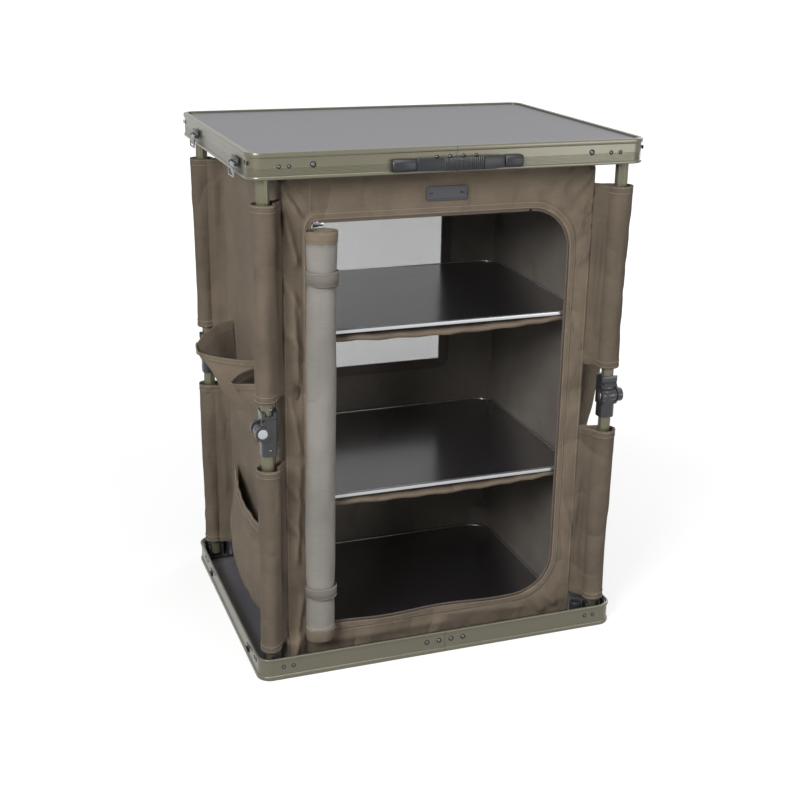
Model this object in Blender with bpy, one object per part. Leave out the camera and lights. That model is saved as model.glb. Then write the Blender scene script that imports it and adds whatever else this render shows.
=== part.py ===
# Folding camp cupboard: two framed trays, four folding legs and a hanging cloth cabinet.
# Metres, +Z up, the front faces -Y, the origin is under the middle of the base.
import math

import bmesh
import bpy
from mathutils import Vector

# Overall sizes
WIDTH = 0.600
DEPTH = 0.460
HEIGHT = 0.800
RAIL_HEIGHT = 0.0365
RAIL_CORNER = 0.022
GAP = 0.0003

# Tray rail and board
WALL_SET_BACK = 0.0018
WALL_INNER = 0.0034
LIP_REACH = 0.0070
LIP_THICKNESS = 0.0024
BOARD_INSET = 0.0040
BOARD_LOW = 0.0028
BOARD_HIGH = 0.0068
LEDGE_LOW = 0.0072
LEDGE_HIGH = 0.0088
LEDGE_REACH = 0.0075

# Legs
LEG_INSET = 0.026
TUBE_RADIUS = 0.0095
FLUTE_DEPTH = 0.0004
TUBE_BORE = 0.0079
FOOT_HEIGHT = 0.026
KNEE_HEIGHT = HEIGHT / 2
KNEE_OFFSET = 0.011
FOOT_OVERRUN = 0.009
FOOT_PIN = 0.003

# Knuckle
BARREL_RADIUS = 0.0095
BARREL_HALF = 0.0097
CHEEK_INNER = 0.0102
CHEEK_OUTER = 0.0135
EAR_RADIUS = 0.011
SOCKET_OUT = 0.0106
SOCKET_IN = 0.0135
SOCKET_BELOW = 0.038
SOCKET_TOP = 0.012
SOCKET_HALF = 0.0121
SOCKET_BACK = 0.0128
SOCKET_CORNER = 0.0065
LUG_RISE = 0.0195
FERRULE_TOP = 0.030
SEAT_EDGE = 0.010
PIN_RADIUS = 0.0035
BOSS_BUTTON = 0.0185
BOSS_PLAIN = 0.0168
BOSS_FLOOR = 0.0130
BUTTON_RADIUS = 0.0074
BUTTON_PROUD = 0.0005
BUTTON_TRAVEL = 0.003

# Brackets
BRACKET_PLATE = 0.003
BRACKET_FLOOR = LEDGE_HIGH + GAP
ARM_OUT = LEG_INSET - WALL_INNER - GAP
ARM_TOP = 0.0345
CHEEK_GAP = 0.0098
POST_RADIUS = 0.010
POST_WALL = 0.0022

LEG_X = WIDTH / 2 - LEG_INSET
LEG_Y = DEPTH / 2 - LEG_INSET

# Cabinet cloth
WALL_TO_LEG_X = 0.029
WALL_TO_LEG_Y = 0.024
BODY_HALF_X = LEG_X - WALL_TO_LEG_X
BODY_HALF_Y = LEG_Y - WALL_TO_LEG_Y
CLOTH = 0.002
BODY_LOW = 0.009
BODY_HIGH = HEIGHT - 0.012
BODY_CORNER = 0.020
END_CORNER = 0.040
END_LOW = 0.045
END_HIGH = HEIGHT - 0.045
SLEEVE_OUTER = 0.0150
SLEEVE_INNER = 0.0130
LOW_SLEEVE = (0.043, KNEE_HEIGHT - 0.060)
HIGH_SLEEVE = (KNEE_HEIGHT + 0.044, HEIGHT - 0.072)

# Door opening in the front wall, window in the rear wall
DOOR_LEFT = 0.045 - BODY_HALF_X
DOOR_RIGHT = BODY_HALF_X - 0.040
DOOR_LOW = BODY_LOW + 0.046
DOOR_HIGH = HEIGHT - 0.105
DOOR_CORNER = 0.065
WINDOW_HALF_X = BODY_HALF_X - 0.100
WINDOW_LOW = KNEE_HEIGHT - 0.050
WINDOW_HIGH = HEIGHT - 0.100
WINDOW_CORNER = 0.022

# Shelves
SHELF_CLEARANCE = 0.005
SHELF_HALF_X = BODY_HALF_X - SHELF_CLEARANCE
SHELF_HALF_Y = BODY_HALF_Y - SHELF_CLEARANCE
SHELF_CORNER = 0.030
SHELF_THICK = 0.004
FLOOR_TOP = 0.0145
LOWER_SHELF_TOP = HEIGHT * 0.3375
UPPER_SHELF_TOP = HEIGHT * 0.6625

# The pockets are drawn for a wall 0.36 deep on a cupboard 0.80 high and stretch with both
POCKET_ALONG = BODY_HALF_Y / 0.180
POCKET_UP = HEIGHT / 0.800

# Handle and latches
HANDLE_LOW = HEIGHT - 0.0332
HANDLE_HIGH = HEIGHT - 0.0148
HANDLE_LEFT = (-0.099, -0.063)
HANDLE_RIGHT = (0.070, 0.098)
FRONT_LATCH = DEPTH / 2 - 0.0700
REAR_LATCH = DEPTH / 2 - 0.1200

# Each leg: place on the plan and turn about Z. In its own frame it folds towards -X
# and its button faces +Y.
LEGS = {
    "front_left": (-LEG_X, -LEG_Y, math.pi),
    "front_right": (LEG_X, -LEG_Y, -math.pi / 2),
    "rear_right": (LEG_X, LEG_Y, 0.0),
    "rear_left": (-LEG_X, LEG_Y, math.pi / 2),
}
LONG_SIDE_POSTS = ("front_left", "rear_right")


for old in list(bpy.data.objects):
    bpy.data.objects.remove(old, do_unlink=True)

SCENE = bpy.context.scene.collection

# Colours
PAINTS = {
    "rail_paint": ((0.180, 0.171, 0.122), 0.48, 0.35),
    "board_laminate": ((0.290, 0.280, 0.300), 0.55, 0.0),
    "dark_moulding": ((0.062, 0.066, 0.078), 0.45, 0.0),
    "tube_paint": ((0.205, 0.200, 0.135), 0.42, 0.35),
    "button_grey": ((0.380, 0.390, 0.410), 0.40, 0.0),
    "pin_steel": ((0.560, 0.570, 0.580), 0.25, 1.0),
    "bright_wire": ((0.640, 0.640, 0.650), 0.20, 1.0),
    "dark_plate": ((0.070, 0.072, 0.078), 0.42, 0.6),
    "khaki_cloth": ((0.165, 0.127, 0.095), 0.90, 0.0),
    "grey_lining": ((0.300, 0.275, 0.245), 0.90, 0.0),
    "mesh_net": ((0.330, 0.330, 0.320), 0.85, 0.0),
    "shelf_black": ((0.020, 0.021, 0.023), 0.30, 0.0),
    "strap_plastic": ((0.080, 0.084, 0.100), 0.50, 0.0),
    "zip_tape_cloth": ((0.150, 0.125, 0.098), 0.85, 0.0),
}


def material(slot):
    """Gives one painted surface, made the first time it is asked for."""
    found = bpy.data.materials.get(slot)
    if found:
        return found
    colour, roughness, metallic = PAINTS[slot]
    made = bpy.data.materials.new(slot)
    made.use_nodes = True
    shader = made.node_tree.nodes["Principled BSDF"]
    shader.inputs["Base Color"].default_value = (*colour, 1.0)
    shader.inputs["Roughness"].default_value = roughness
    shader.inputs["Metallic"].default_value = metallic
    made.diffuse_color = (*colour, 1.0)
    return made


def place(name, mesh, slot, location=(0, 0, 0), turn=0.0, smooth=False):
    """Puts one named piece in the scene."""
    piece = bpy.data.objects.new(name, mesh)
    piece.location = location
    piece.rotation_euler = (0, 0, turn)
    if not mesh.materials:
        mesh.materials.append(material(slot))
    if smooth:
        mesh.shade_smooth()
    SCENE.objects.link(piece)
    return piece


def closed_mesh(bm):
    """Turns the faces outward and hands the mesh over."""
    bmesh.ops.recalc_face_normals(bm, faces=bm.faces)
    mesh = bpy.data.meshes.new("form")
    bm.to_mesh(mesh)
    bm.free()
    return mesh


def prism(outline, low, high, axis="Z"):
    """Pulls a flat outline from low to high along one axis."""
    lay = {
        "Z": lambda a, b, c: (a, b, c),
        "Y": lambda a, b, c: (a, c, b),
        "X": lambda a, b, c: (c, a, b),
    }[axis]
    bm = bmesh.new()
    face = bm.faces.new([bm.verts.new(lay(a, b, low)) for a, b in outline])
    pulled = bmesh.ops.extrude_face_region(bm, geom=[face])
    new_points = [g for g in pulled["geom"] if isinstance(g, bmesh.types.BMVert)]
    reach = Vector(lay(0, 0, high)) - Vector(lay(0, 0, low))
    bmesh.ops.translate(bm, verts=new_points, vec=reach)
    return closed_mesh(bm)


def block(x, y, z):
    """Makes a plain box from three pairs of limits."""
    return prism([(x[0], y[0]), (x[1], y[0]), (x[1], y[1]), (x[0], y[1])], z[0], z[1])


def arc(centre, radius, start, end, steps):
    """Lists points on a circular arc, angles in degrees."""
    out = []
    for i in range(steps + 1):
        angle = math.radians(start + (end - start) * i / steps)
        x = centre[0] + radius * math.cos(angle)
        y = centre[1] + radius * math.sin(angle)
        out.append((x, y))
    return out


def disc(centre, radius, sides):
    """Lists the corners of a round outline."""
    return arc(centre, radius, 0, 360 - 360 / sides, sides - 1)


def rounded(half_x, half_y, radius, steps=4, centre=(0, 0)):
    """Outlines a rectangle with round corners."""
    out = []
    for sx, sy, start in ((1, 1, 0), (-1, 1, 90), (-1, -1, 180), (1, -1, 270)):
        middle = (centre[0] + sx * (half_x - radius), centre[1] + sy * (half_y - radius))
        out += arc(middle, radius, start, start + 90, steps)
    return out


def skin(rings, closed=False):
    """Covers a row of equal rings; the two ends are capped unless the row closes."""
    bm = bmesh.new()
    rows = [[bm.verts.new(p) for p in ring] for ring in rings]
    count = len(rows[0])
    last = len(rows) if closed else len(rows) - 1
    for i in range(last):
        here, there = rows[i], rows[(i + 1) % len(rows)]
        for j in range(count):
            k = (j + 1) % count
            bm.faces.new((here[j], here[k], there[k], there[j]))
    if not closed:
        bm.faces.new(rows[0][::-1])
        bm.faces.new(rows[-1])
    return closed_mesh(bm)


def combined(start, steps, flat_limit=0.5):
    """Joins or cuts plain forms one after another and keeps the finished mesh."""
    base = bpy.data.objects.new("form", start)
    SCENE.objects.link(base)
    helpers = []
    for kind, mesh in steps:
        helper = bpy.data.objects.new("helper", mesh)
        helper.hide_render = True
        helper.display_type = "WIRE"
        SCENE.objects.link(helper)
        helpers.append(helper)
        change = base.modifiers.new(kind, "BOOLEAN")
        change.operation = kind
        change.solver = "EXACT"
        change.object = helper
    graph = bpy.context.evaluated_depsgraph_get()
    done = bpy.data.meshes.new_from_object(base.evaluated_get(graph))
    for item in [base] + helpers:
        bpy.data.objects.remove(item, do_unlink=True)
    bm = bmesh.new()
    bm.from_mesh(done)
    bmesh.ops.remove_doubles(bm, verts=bm.verts, dist=0.00002)
    bmesh.ops.dissolve_limit(
        bm, angle_limit=math.radians(flat_limit), verts=bm.verts, edges=bm.edges)
    bm.to_mesh(done)
    bm.free()
    return done


def shifted(mesh, offset):
    """Moves a mesh so that its piece can have its origin elsewhere."""
    for point in mesh.vertices:
        point.co += Vector(offset)
    return mesh


def in_triangles(mesh):
    """Splits every face into triangles, so that a bent face is the same in every file."""
    bm = bmesh.new()
    bm.from_mesh(mesh)
    bmesh.ops.triangulate(bm, faces=bm.faces)
    bm.to_mesh(mesh)
    bm.free()
    return mesh


def flipped(mesh):
    """Turns a base piece upside down about the middle height of the cupboard."""
    bm = bmesh.new()
    bm.from_mesh(mesh)
    for point in bm.verts:
        point.co.z = HEIGHT - point.co.z
    bmesh.ops.reverse_faces(bm, faces=bm.faces)
    out = bpy.data.meshes.new("form")
    bm.to_mesh(out)
    bm.free()
    return out


# Tray frames and boards
def rail_profile(ribbed):
    """Lists the rail section as (inset from the outer plane, height above the closed face)."""
    points = [(LIP_REACH, 0), (0.0012, 0), (0, 0.001), (0, 0.0065), (WALL_SET_BACK, 0.0073)]
    if ribbed:
        for rise in (0.0220, 0.0275):
            points.append((WALL_SET_BACK, rise))
            points.append((WALL_SET_BACK - 0.0006, rise + 0.0007))
            points.append((WALL_SET_BACK, rise + 0.0014))
    points += [(WALL_SET_BACK, 0.0318), (0, 0.0326), (0, 0.0355), (0.0009, RAIL_HEIGHT)]
    points += [(0.0030, RAIL_HEIGHT), (WALL_INNER, RAIL_HEIGHT - 0.0005)]
    points += [(WALL_INNER, LEDGE_HIGH), (LEDGE_REACH, LEDGE_HIGH), (LEDGE_REACH, LEDGE_LOW)]
    points += [(WALL_INNER + 0.0002, LEDGE_LOW), (WALL_INNER + 0.0002, LIP_THICKNESS)]
    points += [(LIP_REACH, LIP_THICKNESS)]
    return points


def tray_frame(ribbed, upside_down):
    """Carries the rail section round the rounded rectangle of the tray."""
    profile = rail_profile(ribbed)
    rings = []
    corners = ((1, 1, 0), (-1, 1, 90), (-1, -1, 180), (1, -1, 270))
    for sx, sy, start in corners:
        middle = (sx * (WIDTH / 2 - RAIL_CORNER), sy * (DEPTH / 2 - RAIL_CORNER))
        for step in range(6):
            angle = math.radians(start + 18 * step)
            ring = []
            for inset, rise in profile:
                reach = RAIL_CORNER - inset
                x = middle[0] + reach * math.cos(angle)
                y = middle[1] + reach * math.sin(angle)
                ring.append((x, y, HEIGHT - rise if upside_down else rise))
            rings.append(ring)
    return skin(rings, closed=True)


board_outline = rounded(
    WIDTH / 2 - BOARD_INSET, DEPTH / 2 - BOARD_INSET, RAIL_CORNER - BOARD_INSET, 5)
base_board_mesh = prism(board_outline, BOARD_LOW, BOARD_HIGH)
place("base_frame", tray_frame(False, False), "rail_paint")
place("base_board", base_board_mesh, "board_laminate")
place("top_frame", tray_frame(True, True), "rail_paint")
place("top_board", flipped(base_board_mesh), "board_laminate")


# Corner brackets, drawn in the frame of their leg
def bracket(post_at, v_arm_end, u_arm_end, floor_outline):
    """One corner moulding: floor plate, two arms, pivot cheeks with the pin, hollow post."""
    corner = LEG_INSET - RAIL_CORNER
    outer = ARM_OUT - corner
    floor_top = BRACKET_FLOOR + BRACKET_PLATE
    arms = [(ARM_OUT, u_arm_end)]
    arms += arc((corner, corner), outer, 0, 90, 4)
    arms += [(v_arm_end, ARM_OUT), (v_arm_end, ARM_OUT - BRACKET_PLATE)]
    arms += arc((corner, corner), outer - BRACKET_PLATE, 90, 0, 4)
    arms += [(ARM_OUT - BRACKET_PLATE, u_arm_end)]
    cheek = [(0.009, floor_top - 0.001)]
    cheek += arc((0, FOOT_HEIGHT), 0.0088, 0, 180, 6)
    cheek += [(-0.009, floor_top - 0.001)]
    cheek_back = CHEEK_GAP + BRACKET_PLATE
    steps = [
        ("UNION", prism(arms, BRACKET_FLOOR, ARM_TOP)),
        ("UNION", prism(cheek, CHEEK_GAP, cheek_back, "Y")),
        ("UNION", prism(cheek, -cheek_back, -CHEEK_GAP, "Y")),
        ("UNION", prism(disc((0, FOOT_HEIGHT), FOOT_PIN, 10), -0.0105, 0.0105, "Y")),
        ("UNION", prism(disc(post_at, POST_RADIUS, 14), BRACKET_FLOOR, RAIL_HEIGHT - GAP)),
        ("DIFFERENCE", prism(disc(post_at, POST_RADIUS - POST_WALL, 10), floor_top, 0.05)),
    ]
    return combined(prism(floor_outline, BRACKET_FLOOR, floor_top), steps)


def floor_plate(post_at, long_side):
    """Outlines the bracket floor between the pivot and the post."""
    corner = LEG_INSET - RAIL_CORNER
    edge = CHEEK_GAP + BRACKET_PLATE
    outline = [(ARM_OUT, -edge)]
    outline += arc((corner, corner), ARM_OUT - corner, 0, 90, 4)
    if long_side:
        outline += [(-0.036, ARM_OUT), (post_at[0] - POST_RADIUS, 0.010)]
        outline += arc(post_at, POST_RADIUS, 180, 360, 7)
        outline += [(post_at[0] + POST_RADIUS, -edge)]
    else:
        outline += [(-0.012, ARM_OUT), (-0.012, post_at[1])]
        outline += arc(post_at, POST_RADIUS, 180, 360, 7)
        outline += [(post_at[0] + POST_RADIUS, -0.024), (ARM_OUT, -0.024)]
    return outline


LONG_POST = (-0.034, -0.023)
SHORT_POST = (-0.002, -0.029)
long_bracket = bracket(LONG_POST, -0.036, -0.017, floor_plate(LONG_POST, True))
short_bracket = bracket(SHORT_POST, -0.012, -0.040, floor_plate(SHORT_POST, False))
long_bracket_top = flipped(long_bracket)
short_bracket_top = flipped(short_bracket)
for corner_name, (leg_x, leg_y, turn) in LEGS.items():
    is_long = corner_name in LONG_SIDE_POSTS
    low = long_bracket if is_long else short_bracket
    high = long_bracket_top if is_long else short_bracket_top
    place("foot_bracket_" + corner_name, low, "dark_moulding", (leg_x, leg_y, 0), turn)
    place("top_bracket_" + corner_name, high, "dark_moulding", (leg_x, leg_y, 0), turn)


# Leg tubes
def tube(low, high, pivot):
    """A fluted hollow tube with a cross bore for its pivot pin."""
    flutes = 10
    bm = bmesh.new()
    levels = []
    for z in (low, high):
        outer = []
        inner = []
        for i in range(flutes * 2):
            angle = math.pi * i / flutes
            reach = TUBE_RADIUS if i % 2 == 0 else TUBE_RADIUS - FLUTE_DEPTH
            outer.append(bm.verts.new((reach * math.cos(angle), reach * math.sin(angle), z)))
            across = (TUBE_BORE * math.cos(angle), TUBE_BORE * math.sin(angle), z)
            inner.append(bm.verts.new(across))
        levels.append((outer, inner))
    (low_out, low_in), (high_out, high_in) = levels
    for i in range(flutes * 2):
        k = (i + 1) % (flutes * 2)
        bm.faces.new((low_out[i], low_out[k], high_out[k], high_out[i]))
        bm.faces.new((low_in[k], low_in[i], high_in[i], high_in[k]))
        bm.faces.new((low_out[k], low_out[i], low_in[i], low_in[k]))
        bm.faces.new((high_out[i], high_out[k], high_in[k], high_in[i]))
    bore = prism(disc((0, pivot), FOOT_PIN + GAP, 10), -0.012, 0.012, "Y")
    return combined(closed_mesh(bm), [("DIFFERENCE", bore)])


KNEE = (KNEE_OFFSET, KNEE_HEIGHT)
lower_tube_top = KNEE_HEIGHT - SOCKET_TOP - 0.0020
upper_tube_low = KNEE_HEIGHT + 0.0128
top_pivot = HEIGHT - FOOT_HEIGHT
lower_tube = tube(FOOT_HEIGHT - FOOT_OVERRUN, lower_tube_top, FOOT_HEIGHT)
upper_tube = tube(upper_tube_low, top_pivot + FOOT_OVERRUN, top_pivot)


# Knuckle fork: socket, two cheeks with bosses, seat for the over-centre stop
def fork_form():
    """The lower half of the folding knuckle."""
    top = KNEE_HEIGHT + LUG_RISE
    bottom = KNEE_HEIGHT - SOCKET_BELOW
    waist = KNEE_HEIGHT - 0.016
    side = [(-SOCKET_IN, waist), (SOCKET_OUT, waist)]
    side += arc(KNEE, EAR_RADIUS, -70, 85, 6)
    side += [(0.006, top), (-SOCKET_IN, top)]
    for step in range(3):
        notch = KNEE_HEIGHT + 0.013 - 0.012 * step
        side += [(-SOCKET_IN, notch), (-SOCKET_IN + 0.0012, notch - 0.0014)]
        side += [(-SOCKET_IN, notch - 0.0028)]
    slot = [(-SEAT_EDGE, KNEE_HEIGHT), (KNEE_OFFSET - BARREL_RADIUS - 0.0006, KNEE_HEIGHT)]
    slot += arc(KNEE, BARREL_RADIUS + 0.0004, 180, 270, 6)
    slot_low = KNEE_HEIGHT - 0.020
    slot_high = KNEE_HEIGHT + 0.040
    slot += [(KNEE_OFFSET, slot_low), (0.030, slot_low), (0.030, slot_high)]
    slot += [(-SEAT_EDGE, slot_high)]
    corner = [(0.0, 0.0), (0.004, 0.0), (0.0, 0.004)]
    corner_cut = prism(corner, waist - 0.012, top + 0.012)
    socket_u = (SOCKET_OUT + SOCKET_BACK) / 2
    socket_at = (SOCKET_OUT - socket_u, 0.0)
    socket = prism(rounded(socket_u, SOCKET_HALF, SOCKET_CORNER, 3, socket_at), bottom, waist + 0.002)
    bore = prism(disc((0, 0), TUBE_RADIUS + 0.0005, 16), bottom - 0.012, lower_tube_top + GAP)
    screw_recess = prism(disc((-0.0015, bottom + 0.009), 0.0032, 10), 0.0112, 0.020, "Y")
    ring = disc(KNEE, EAR_RADIUS, 16)
    steps = [
        ("UNION", socket),
        ("DIFFERENCE", prism(slot, -CHEEK_INNER, CHEEK_INNER, "Y")),
        ("UNION", prism(ring, CHEEK_OUTER - 0.001, BOSS_BUTTON, "Y")),
        ("UNION", prism(ring, -BOSS_PLAIN, -CHEEK_OUTER + 0.001, "Y")),
        ("DIFFERENCE", prism(disc(KNEE, BUTTON_RADIUS + GAP, 16), BOSS_FLOOR, 0.025, "Y")),
        ("DIFFERENCE", prism(disc(KNEE, PIN_RADIUS + GAP, 12), -0.025, 0.025, "Y")),
        ("DIFFERENCE", bore),
        ("DIFFERENCE", screw_recess),
    ]
    for sx, sy in ((-1, -1), (-1, 1)):
        cut = corner_cut.copy()
        for point in cut.vertices:
            x = sx * (SOCKET_IN + 0.0001 - point.co.x)
            y = sy * (CHEEK_OUTER + 0.0001 - point.co.y)
            point.co = Vector((x, y, point.co.z))
        bm = bmesh.new()
        bm.from_mesh(cut)
        bmesh.ops.recalc_face_normals(bm, faces=bm.faces)
        bm.to_mesh(cut)
        bm.free()
        steps.append(("DIFFERENCE", cut))
    return combined(prism(side, -CHEEK_OUTER, CHEEK_OUTER, "Y"), steps)


def tongue_form():
    """The upper half of the folding knuckle: barrel, neck and the ferrule with two lugs."""
    low = KNEE_HEIGHT + GAP
    shoulder = KNEE_HEIGHT + LUG_RISE + GAP
    top = KNEE_HEIGHT + FERRULE_TOP
    neck = [(-BARREL_HALF, low), (KNEE_OFFSET - BARREL_RADIUS, low)]
    neck += arc(KNEE, BARREL_RADIUS, 180, 450, 16)
    neck += [(0.0103, KNEE_HEIGHT + BARREL_RADIUS), (0.0103, shoulder + 0.001)]
    neck += [(-BARREL_HALF, shoulder + 0.001)]
    ferrule = [(-SOCKET_IN, -0.010), (-0.010, -CHEEK_OUTER), (0.0086, -CHEEK_OUTER)]
    ferrule += [(SOCKET_OUT, -0.0115), (SOCKET_OUT, 0.0115), (0.0086, CHEEK_OUTER)]
    ferrule += [(-0.010, CHEEK_OUTER), (-SOCKET_IN, 0.010)]
    above = top + 0.010
    window = [(-0.0062, above), (-0.0062, shoulder + 0.0045)]
    window += arc((0, shoulder + 0.0065), 0.0040, 210, 330, 4)
    window += [(0.0062, shoulder + 0.0045), (0.0062, above)]
    steps = [
        ("UNION", prism(ferrule, shoulder, top)),
        ("DIFFERENCE", prism(disc((0, 0), TUBE_RADIUS + 0.0005, 16), upper_tube_low - GAP, above)),
        ("DIFFERENCE", prism(window, -0.020, 0.020, "Y")),
        ("DIFFERENCE", prism(disc(KNEE, PIN_RADIUS + GAP, 12), -0.025, 0.025, "Y")),
    ]
    return combined(prism(neck, -BARREL_HALF, BARREL_HALF, "Y"), steps)


def pin_form():
    """The knuckle pin with its flat head on the plain side."""
    shank = prism(disc(KNEE, PIN_RADIUS, 12), -BOSS_PLAIN - GAP - 0.0002, BOSS_FLOOR - GAP, "Y")
    head = prism(disc(KNEE, 0.0060, 12), -BOSS_PLAIN - 0.0020, -BOSS_PLAIN - GAP, "Y")
    return combined(shank, [("UNION", head)])


def button_form():
    """The round push button in the counterbore of the knuckle."""
    high = BOSS_BUTTON + BUTTON_PROUD
    rings = []
    low = BOSS_FLOOR + BUTTON_TRAVEL + GAP
    for y, reach in ((low, BUTTON_RADIUS), (high - 0.0008, BUTTON_RADIUS),
                     (high, BUTTON_RADIUS - 0.0008)):
        rings.append([(a, y, b) for a, b in disc(KNEE, reach, 16)])
    return skin(rings)


to_foot = (0, 0, -FOOT_HEIGHT)
to_knee = (-KNEE_OFFSET, 0, -KNEE_HEIGHT)
lower_tube = shifted(lower_tube, to_foot)
upper_tube = shifted(upper_tube, to_knee)
fork = shifted(fork_form(), to_foot)
tongue = shifted(tongue_form(), to_knee)
pin = shifted(pin_form(), to_foot)
button = shifted(button_form(), to_foot)
for corner_name, (leg_x, leg_y, turn) in LEGS.items():
    foot = (leg_x, leg_y, FOOT_HEIGHT)
    knee = (
        leg_x + KNEE_OFFSET * math.cos(turn),
        leg_y + KNEE_OFFSET * math.sin(turn),
        KNEE_HEIGHT,
    )
    place("lower_tube_" + corner_name, lower_tube, "tube_paint", foot, turn)
    place("upper_tube_" + corner_name, upper_tube, "tube_paint", knee, turn)
    place("knuckle_fork_" + corner_name, fork, "dark_moulding", foot, turn)
    place("knuckle_tongue_" + corner_name, tongue, "dark_moulding", knee, turn)
    place("knuckle_pin_" + corner_name, pin, "pin_steel", foot, turn)
    place("release_button_" + corner_name, button, "button_grey", foot, turn)


# Cloth cabinet
window_half = (WINDOW_HIGH - WINDOW_LOW) / 2
window_middle = (0.0, (WINDOW_HIGH + WINDOW_LOW) / 2)


def body_outline(z, inward):
    """Outlines the hanging cloth at one height, with its gentle folds."""
    near_end = z < END_LOW or z > END_HIGH
    radius = (END_CORNER if near_end else BODY_CORNER) - inward
    half_x = BODY_HALF_X - inward
    half_y = BODY_HALF_Y - inward
    points = []
    long_side = [BODY_HALF_X * share for share in (0.69, 0.41, 0.14, -0.14, -0.41, -0.69)]
    short_side = [BODY_HALF_Y * share for share in (0.58, 0.22, -0.22, -0.58)]
    sides = (
        ((1, 1, 0), [(-1, 0, x) for x in long_side]),
        ((-1, 1, 90), [(0, -1, y) for y in short_side]),
        ((-1, -1, 180), [(1, 0, -x) for x in long_side]),
        ((1, -1, 270), [(0, 1, -y) for y in short_side]),
    )
    for (sx, sy, start), between in sides:
        middle = (sx * (half_x - radius), sy * (half_y - radius))
        points += arc(middle, radius, start, start + 90, 4)
        for along_x, along_y, value in between:
            if along_x:
                points.append((value, sy * half_y))
            else:
                swell = 0.0
                if END_LOW + 0.015 < z < END_HIGH - 0.005:
                    swell = 0.0022 * math.sin(38 * value + 9 * z) + 0.0012
                points.append((sx * (half_x + swell), value))
    return [(x, y, z) for x, y in points]


def cabinet_form():
    """The cloth cabinet: four walls and a floor, with the leg sleeves on its corners."""
    straight = [END_LOW + 0.005 + (END_HIGH - END_LOW - 0.010) * i / 7 for i in range(8)]
    heights = [BODY_LOW, END_LOW - 0.001] + straight + [END_HIGH + 0.005, BODY_HIGH]
    outer = [body_outline(z, 0.0) for z in heights]
    inner = [body_outline(z, CLOTH) for z in heights]
    inner[0] = [(x, y, BODY_LOW + CLOTH) for x, y, z in inner[0]]
    shell = skin(outer + inner[::-1])
    arc_x = DOOR_RIGHT - DOOR_CORNER
    front = [(DOOR_LEFT, DOOR_HIGH), (DOOR_LEFT, DOOR_LOW)]
    front += arc((arc_x, DOOR_LOW + DOOR_CORNER), DOOR_CORNER, 270, 360, 6)
    front += arc((arc_x, DOOR_HIGH - DOOR_CORNER), DOOR_CORNER, 0, 90, 6)
    window = rounded(WINDOW_HALF_X, window_half, WINDOW_CORNER, 3, window_middle)
    steps = [
        ("DIFFERENCE", prism(front, -BODY_HALF_Y - 0.02, -BODY_HALF_Y + 0.02, "Y")),
        ("DIFFERENCE", prism(window, BODY_HALF_Y - 0.02, BODY_HALF_Y + 0.02, "Y")),
    ]
    for leg_x, leg_y, turn in LEGS.values():
        sx = math.copysign(1, leg_x)
        sy = math.copysign(1, leg_y)
        for low, high in (LOW_SLEEVE, HIGH_SLEEVE):
            loop_out = prism(disc((leg_x, leg_y), SLEEVE_OUTER, 12), low, high)
            loop_in = prism(disc((leg_x, leg_y), SLEEVE_INNER, 12), low - 0.01, high + 0.01)
            near = Vector((leg_x - sx * 0.0092, leg_y - sy * 0.0092))
            far = Vector((sx * (BODY_HALF_X - 0.0072), sy * (BODY_HALF_Y - 0.0072)))
            side = (far - near).orthogonal().normalized() * 0.0011
            web = prism([near + side, near - side, far - side, far + side], low + 0.001,
                        high - 0.001)
            steps.append(("UNION", combined(web, [("UNION", loop_out),
                                                  ("DIFFERENCE", loop_in)])))
    return combined(shell, steps, flat_limit=0.02)


place("cabinet_fabric", cabinet_form(), "khaki_cloth", smooth=True)
mesh_edge = 0.0006
mesh_panel = rounded(WINDOW_HALF_X - mesh_edge, window_half - mesh_edge,
                     WINDOW_CORNER - mesh_edge, 3, window_middle)
place("rear_mesh", prism(mesh_panel, BODY_HALF_Y - 0.0016, BODY_HALF_Y - 0.0006, "Y"), "mesh_net")


# Rolled door, tied back at the left edge of the opening
def roll_form():
    """The door rolled round itself, slightly lumpy between its two ties."""
    rings = []
    low = DOOR_LOW - 0.024
    high = DOOR_HIGH - 0.011
    stations = ((0.0, 0.96), (0.015, 1.0), (0.11, 1.02), (0.142, 0.95), (0.175, 1.02),
                (0.36, 1.0), (0.54, 0.98), (0.70, 1.01), (0.865, 1.0), (0.897, 0.94),
                (0.93, 1.01), (1.0, 0.96))
    for lean, scale in stations:
        z = low + (high - low) * lean
        x = DOOR_LEFT + 0.0055 + 0.0060 * lean
        half_x = (0.0232 - 0.0022 * lean) * scale
        half_y = 0.0170 * scale
        y = -BODY_HALF_Y - 0.0008 - 0.0178
        ring = []
        for a, b in disc((0, 0), 1.0, 20):
            ring.append((x + half_x * a, y + half_y * b, z))
        rings.append(ring)
    return skin(rings)


place("door_roll", roll_form(), "grey_lining", smooth=True)


# Zip along the upper edge of the opening, and its slider
zip_front = -BODY_HALF_Y - 0.0022
zip_left = DOOR_LEFT + 0.0005
zip_right = DOOR_RIGHT - DOOR_CORNER - 0.002
zip_low = DOOR_HIGH - 0.0100
zip_high = DOOR_HIGH + 0.0015
zip_bar = prism([(zip_left, zip_low), (zip_right, zip_low), (zip_right, zip_high),
                 (zip_left, zip_high)], zip_front, -BODY_HALF_Y - 0.0005, "Y")
place("zip_tape", zip_bar, "zip_tape_cloth")


def slider_form():
    """The zip slider with its short pull, turned along the tape above the rolled door."""
    x = zip_left + 0.0015
    z = zip_low + 0.0015
    body = prism([(x, z), (x + 0.008, z + 0.0012), (x + 0.008, z + 0.0078), (x, z + 0.009)],
                 zip_front - 0.0030, zip_front - GAP, "Y")
    pull = prism([(x + 0.004, z + 0.002), (x + 0.015, z + 0.002), (x + 0.015, z + 0.007),
                  (x + 0.004, z + 0.007)], zip_front - 0.0042, zip_front - 0.0026, "Y")
    return combined(body, [("UNION", pull)])


place("zip_slider", slider_form(), "bright_wire")


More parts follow.
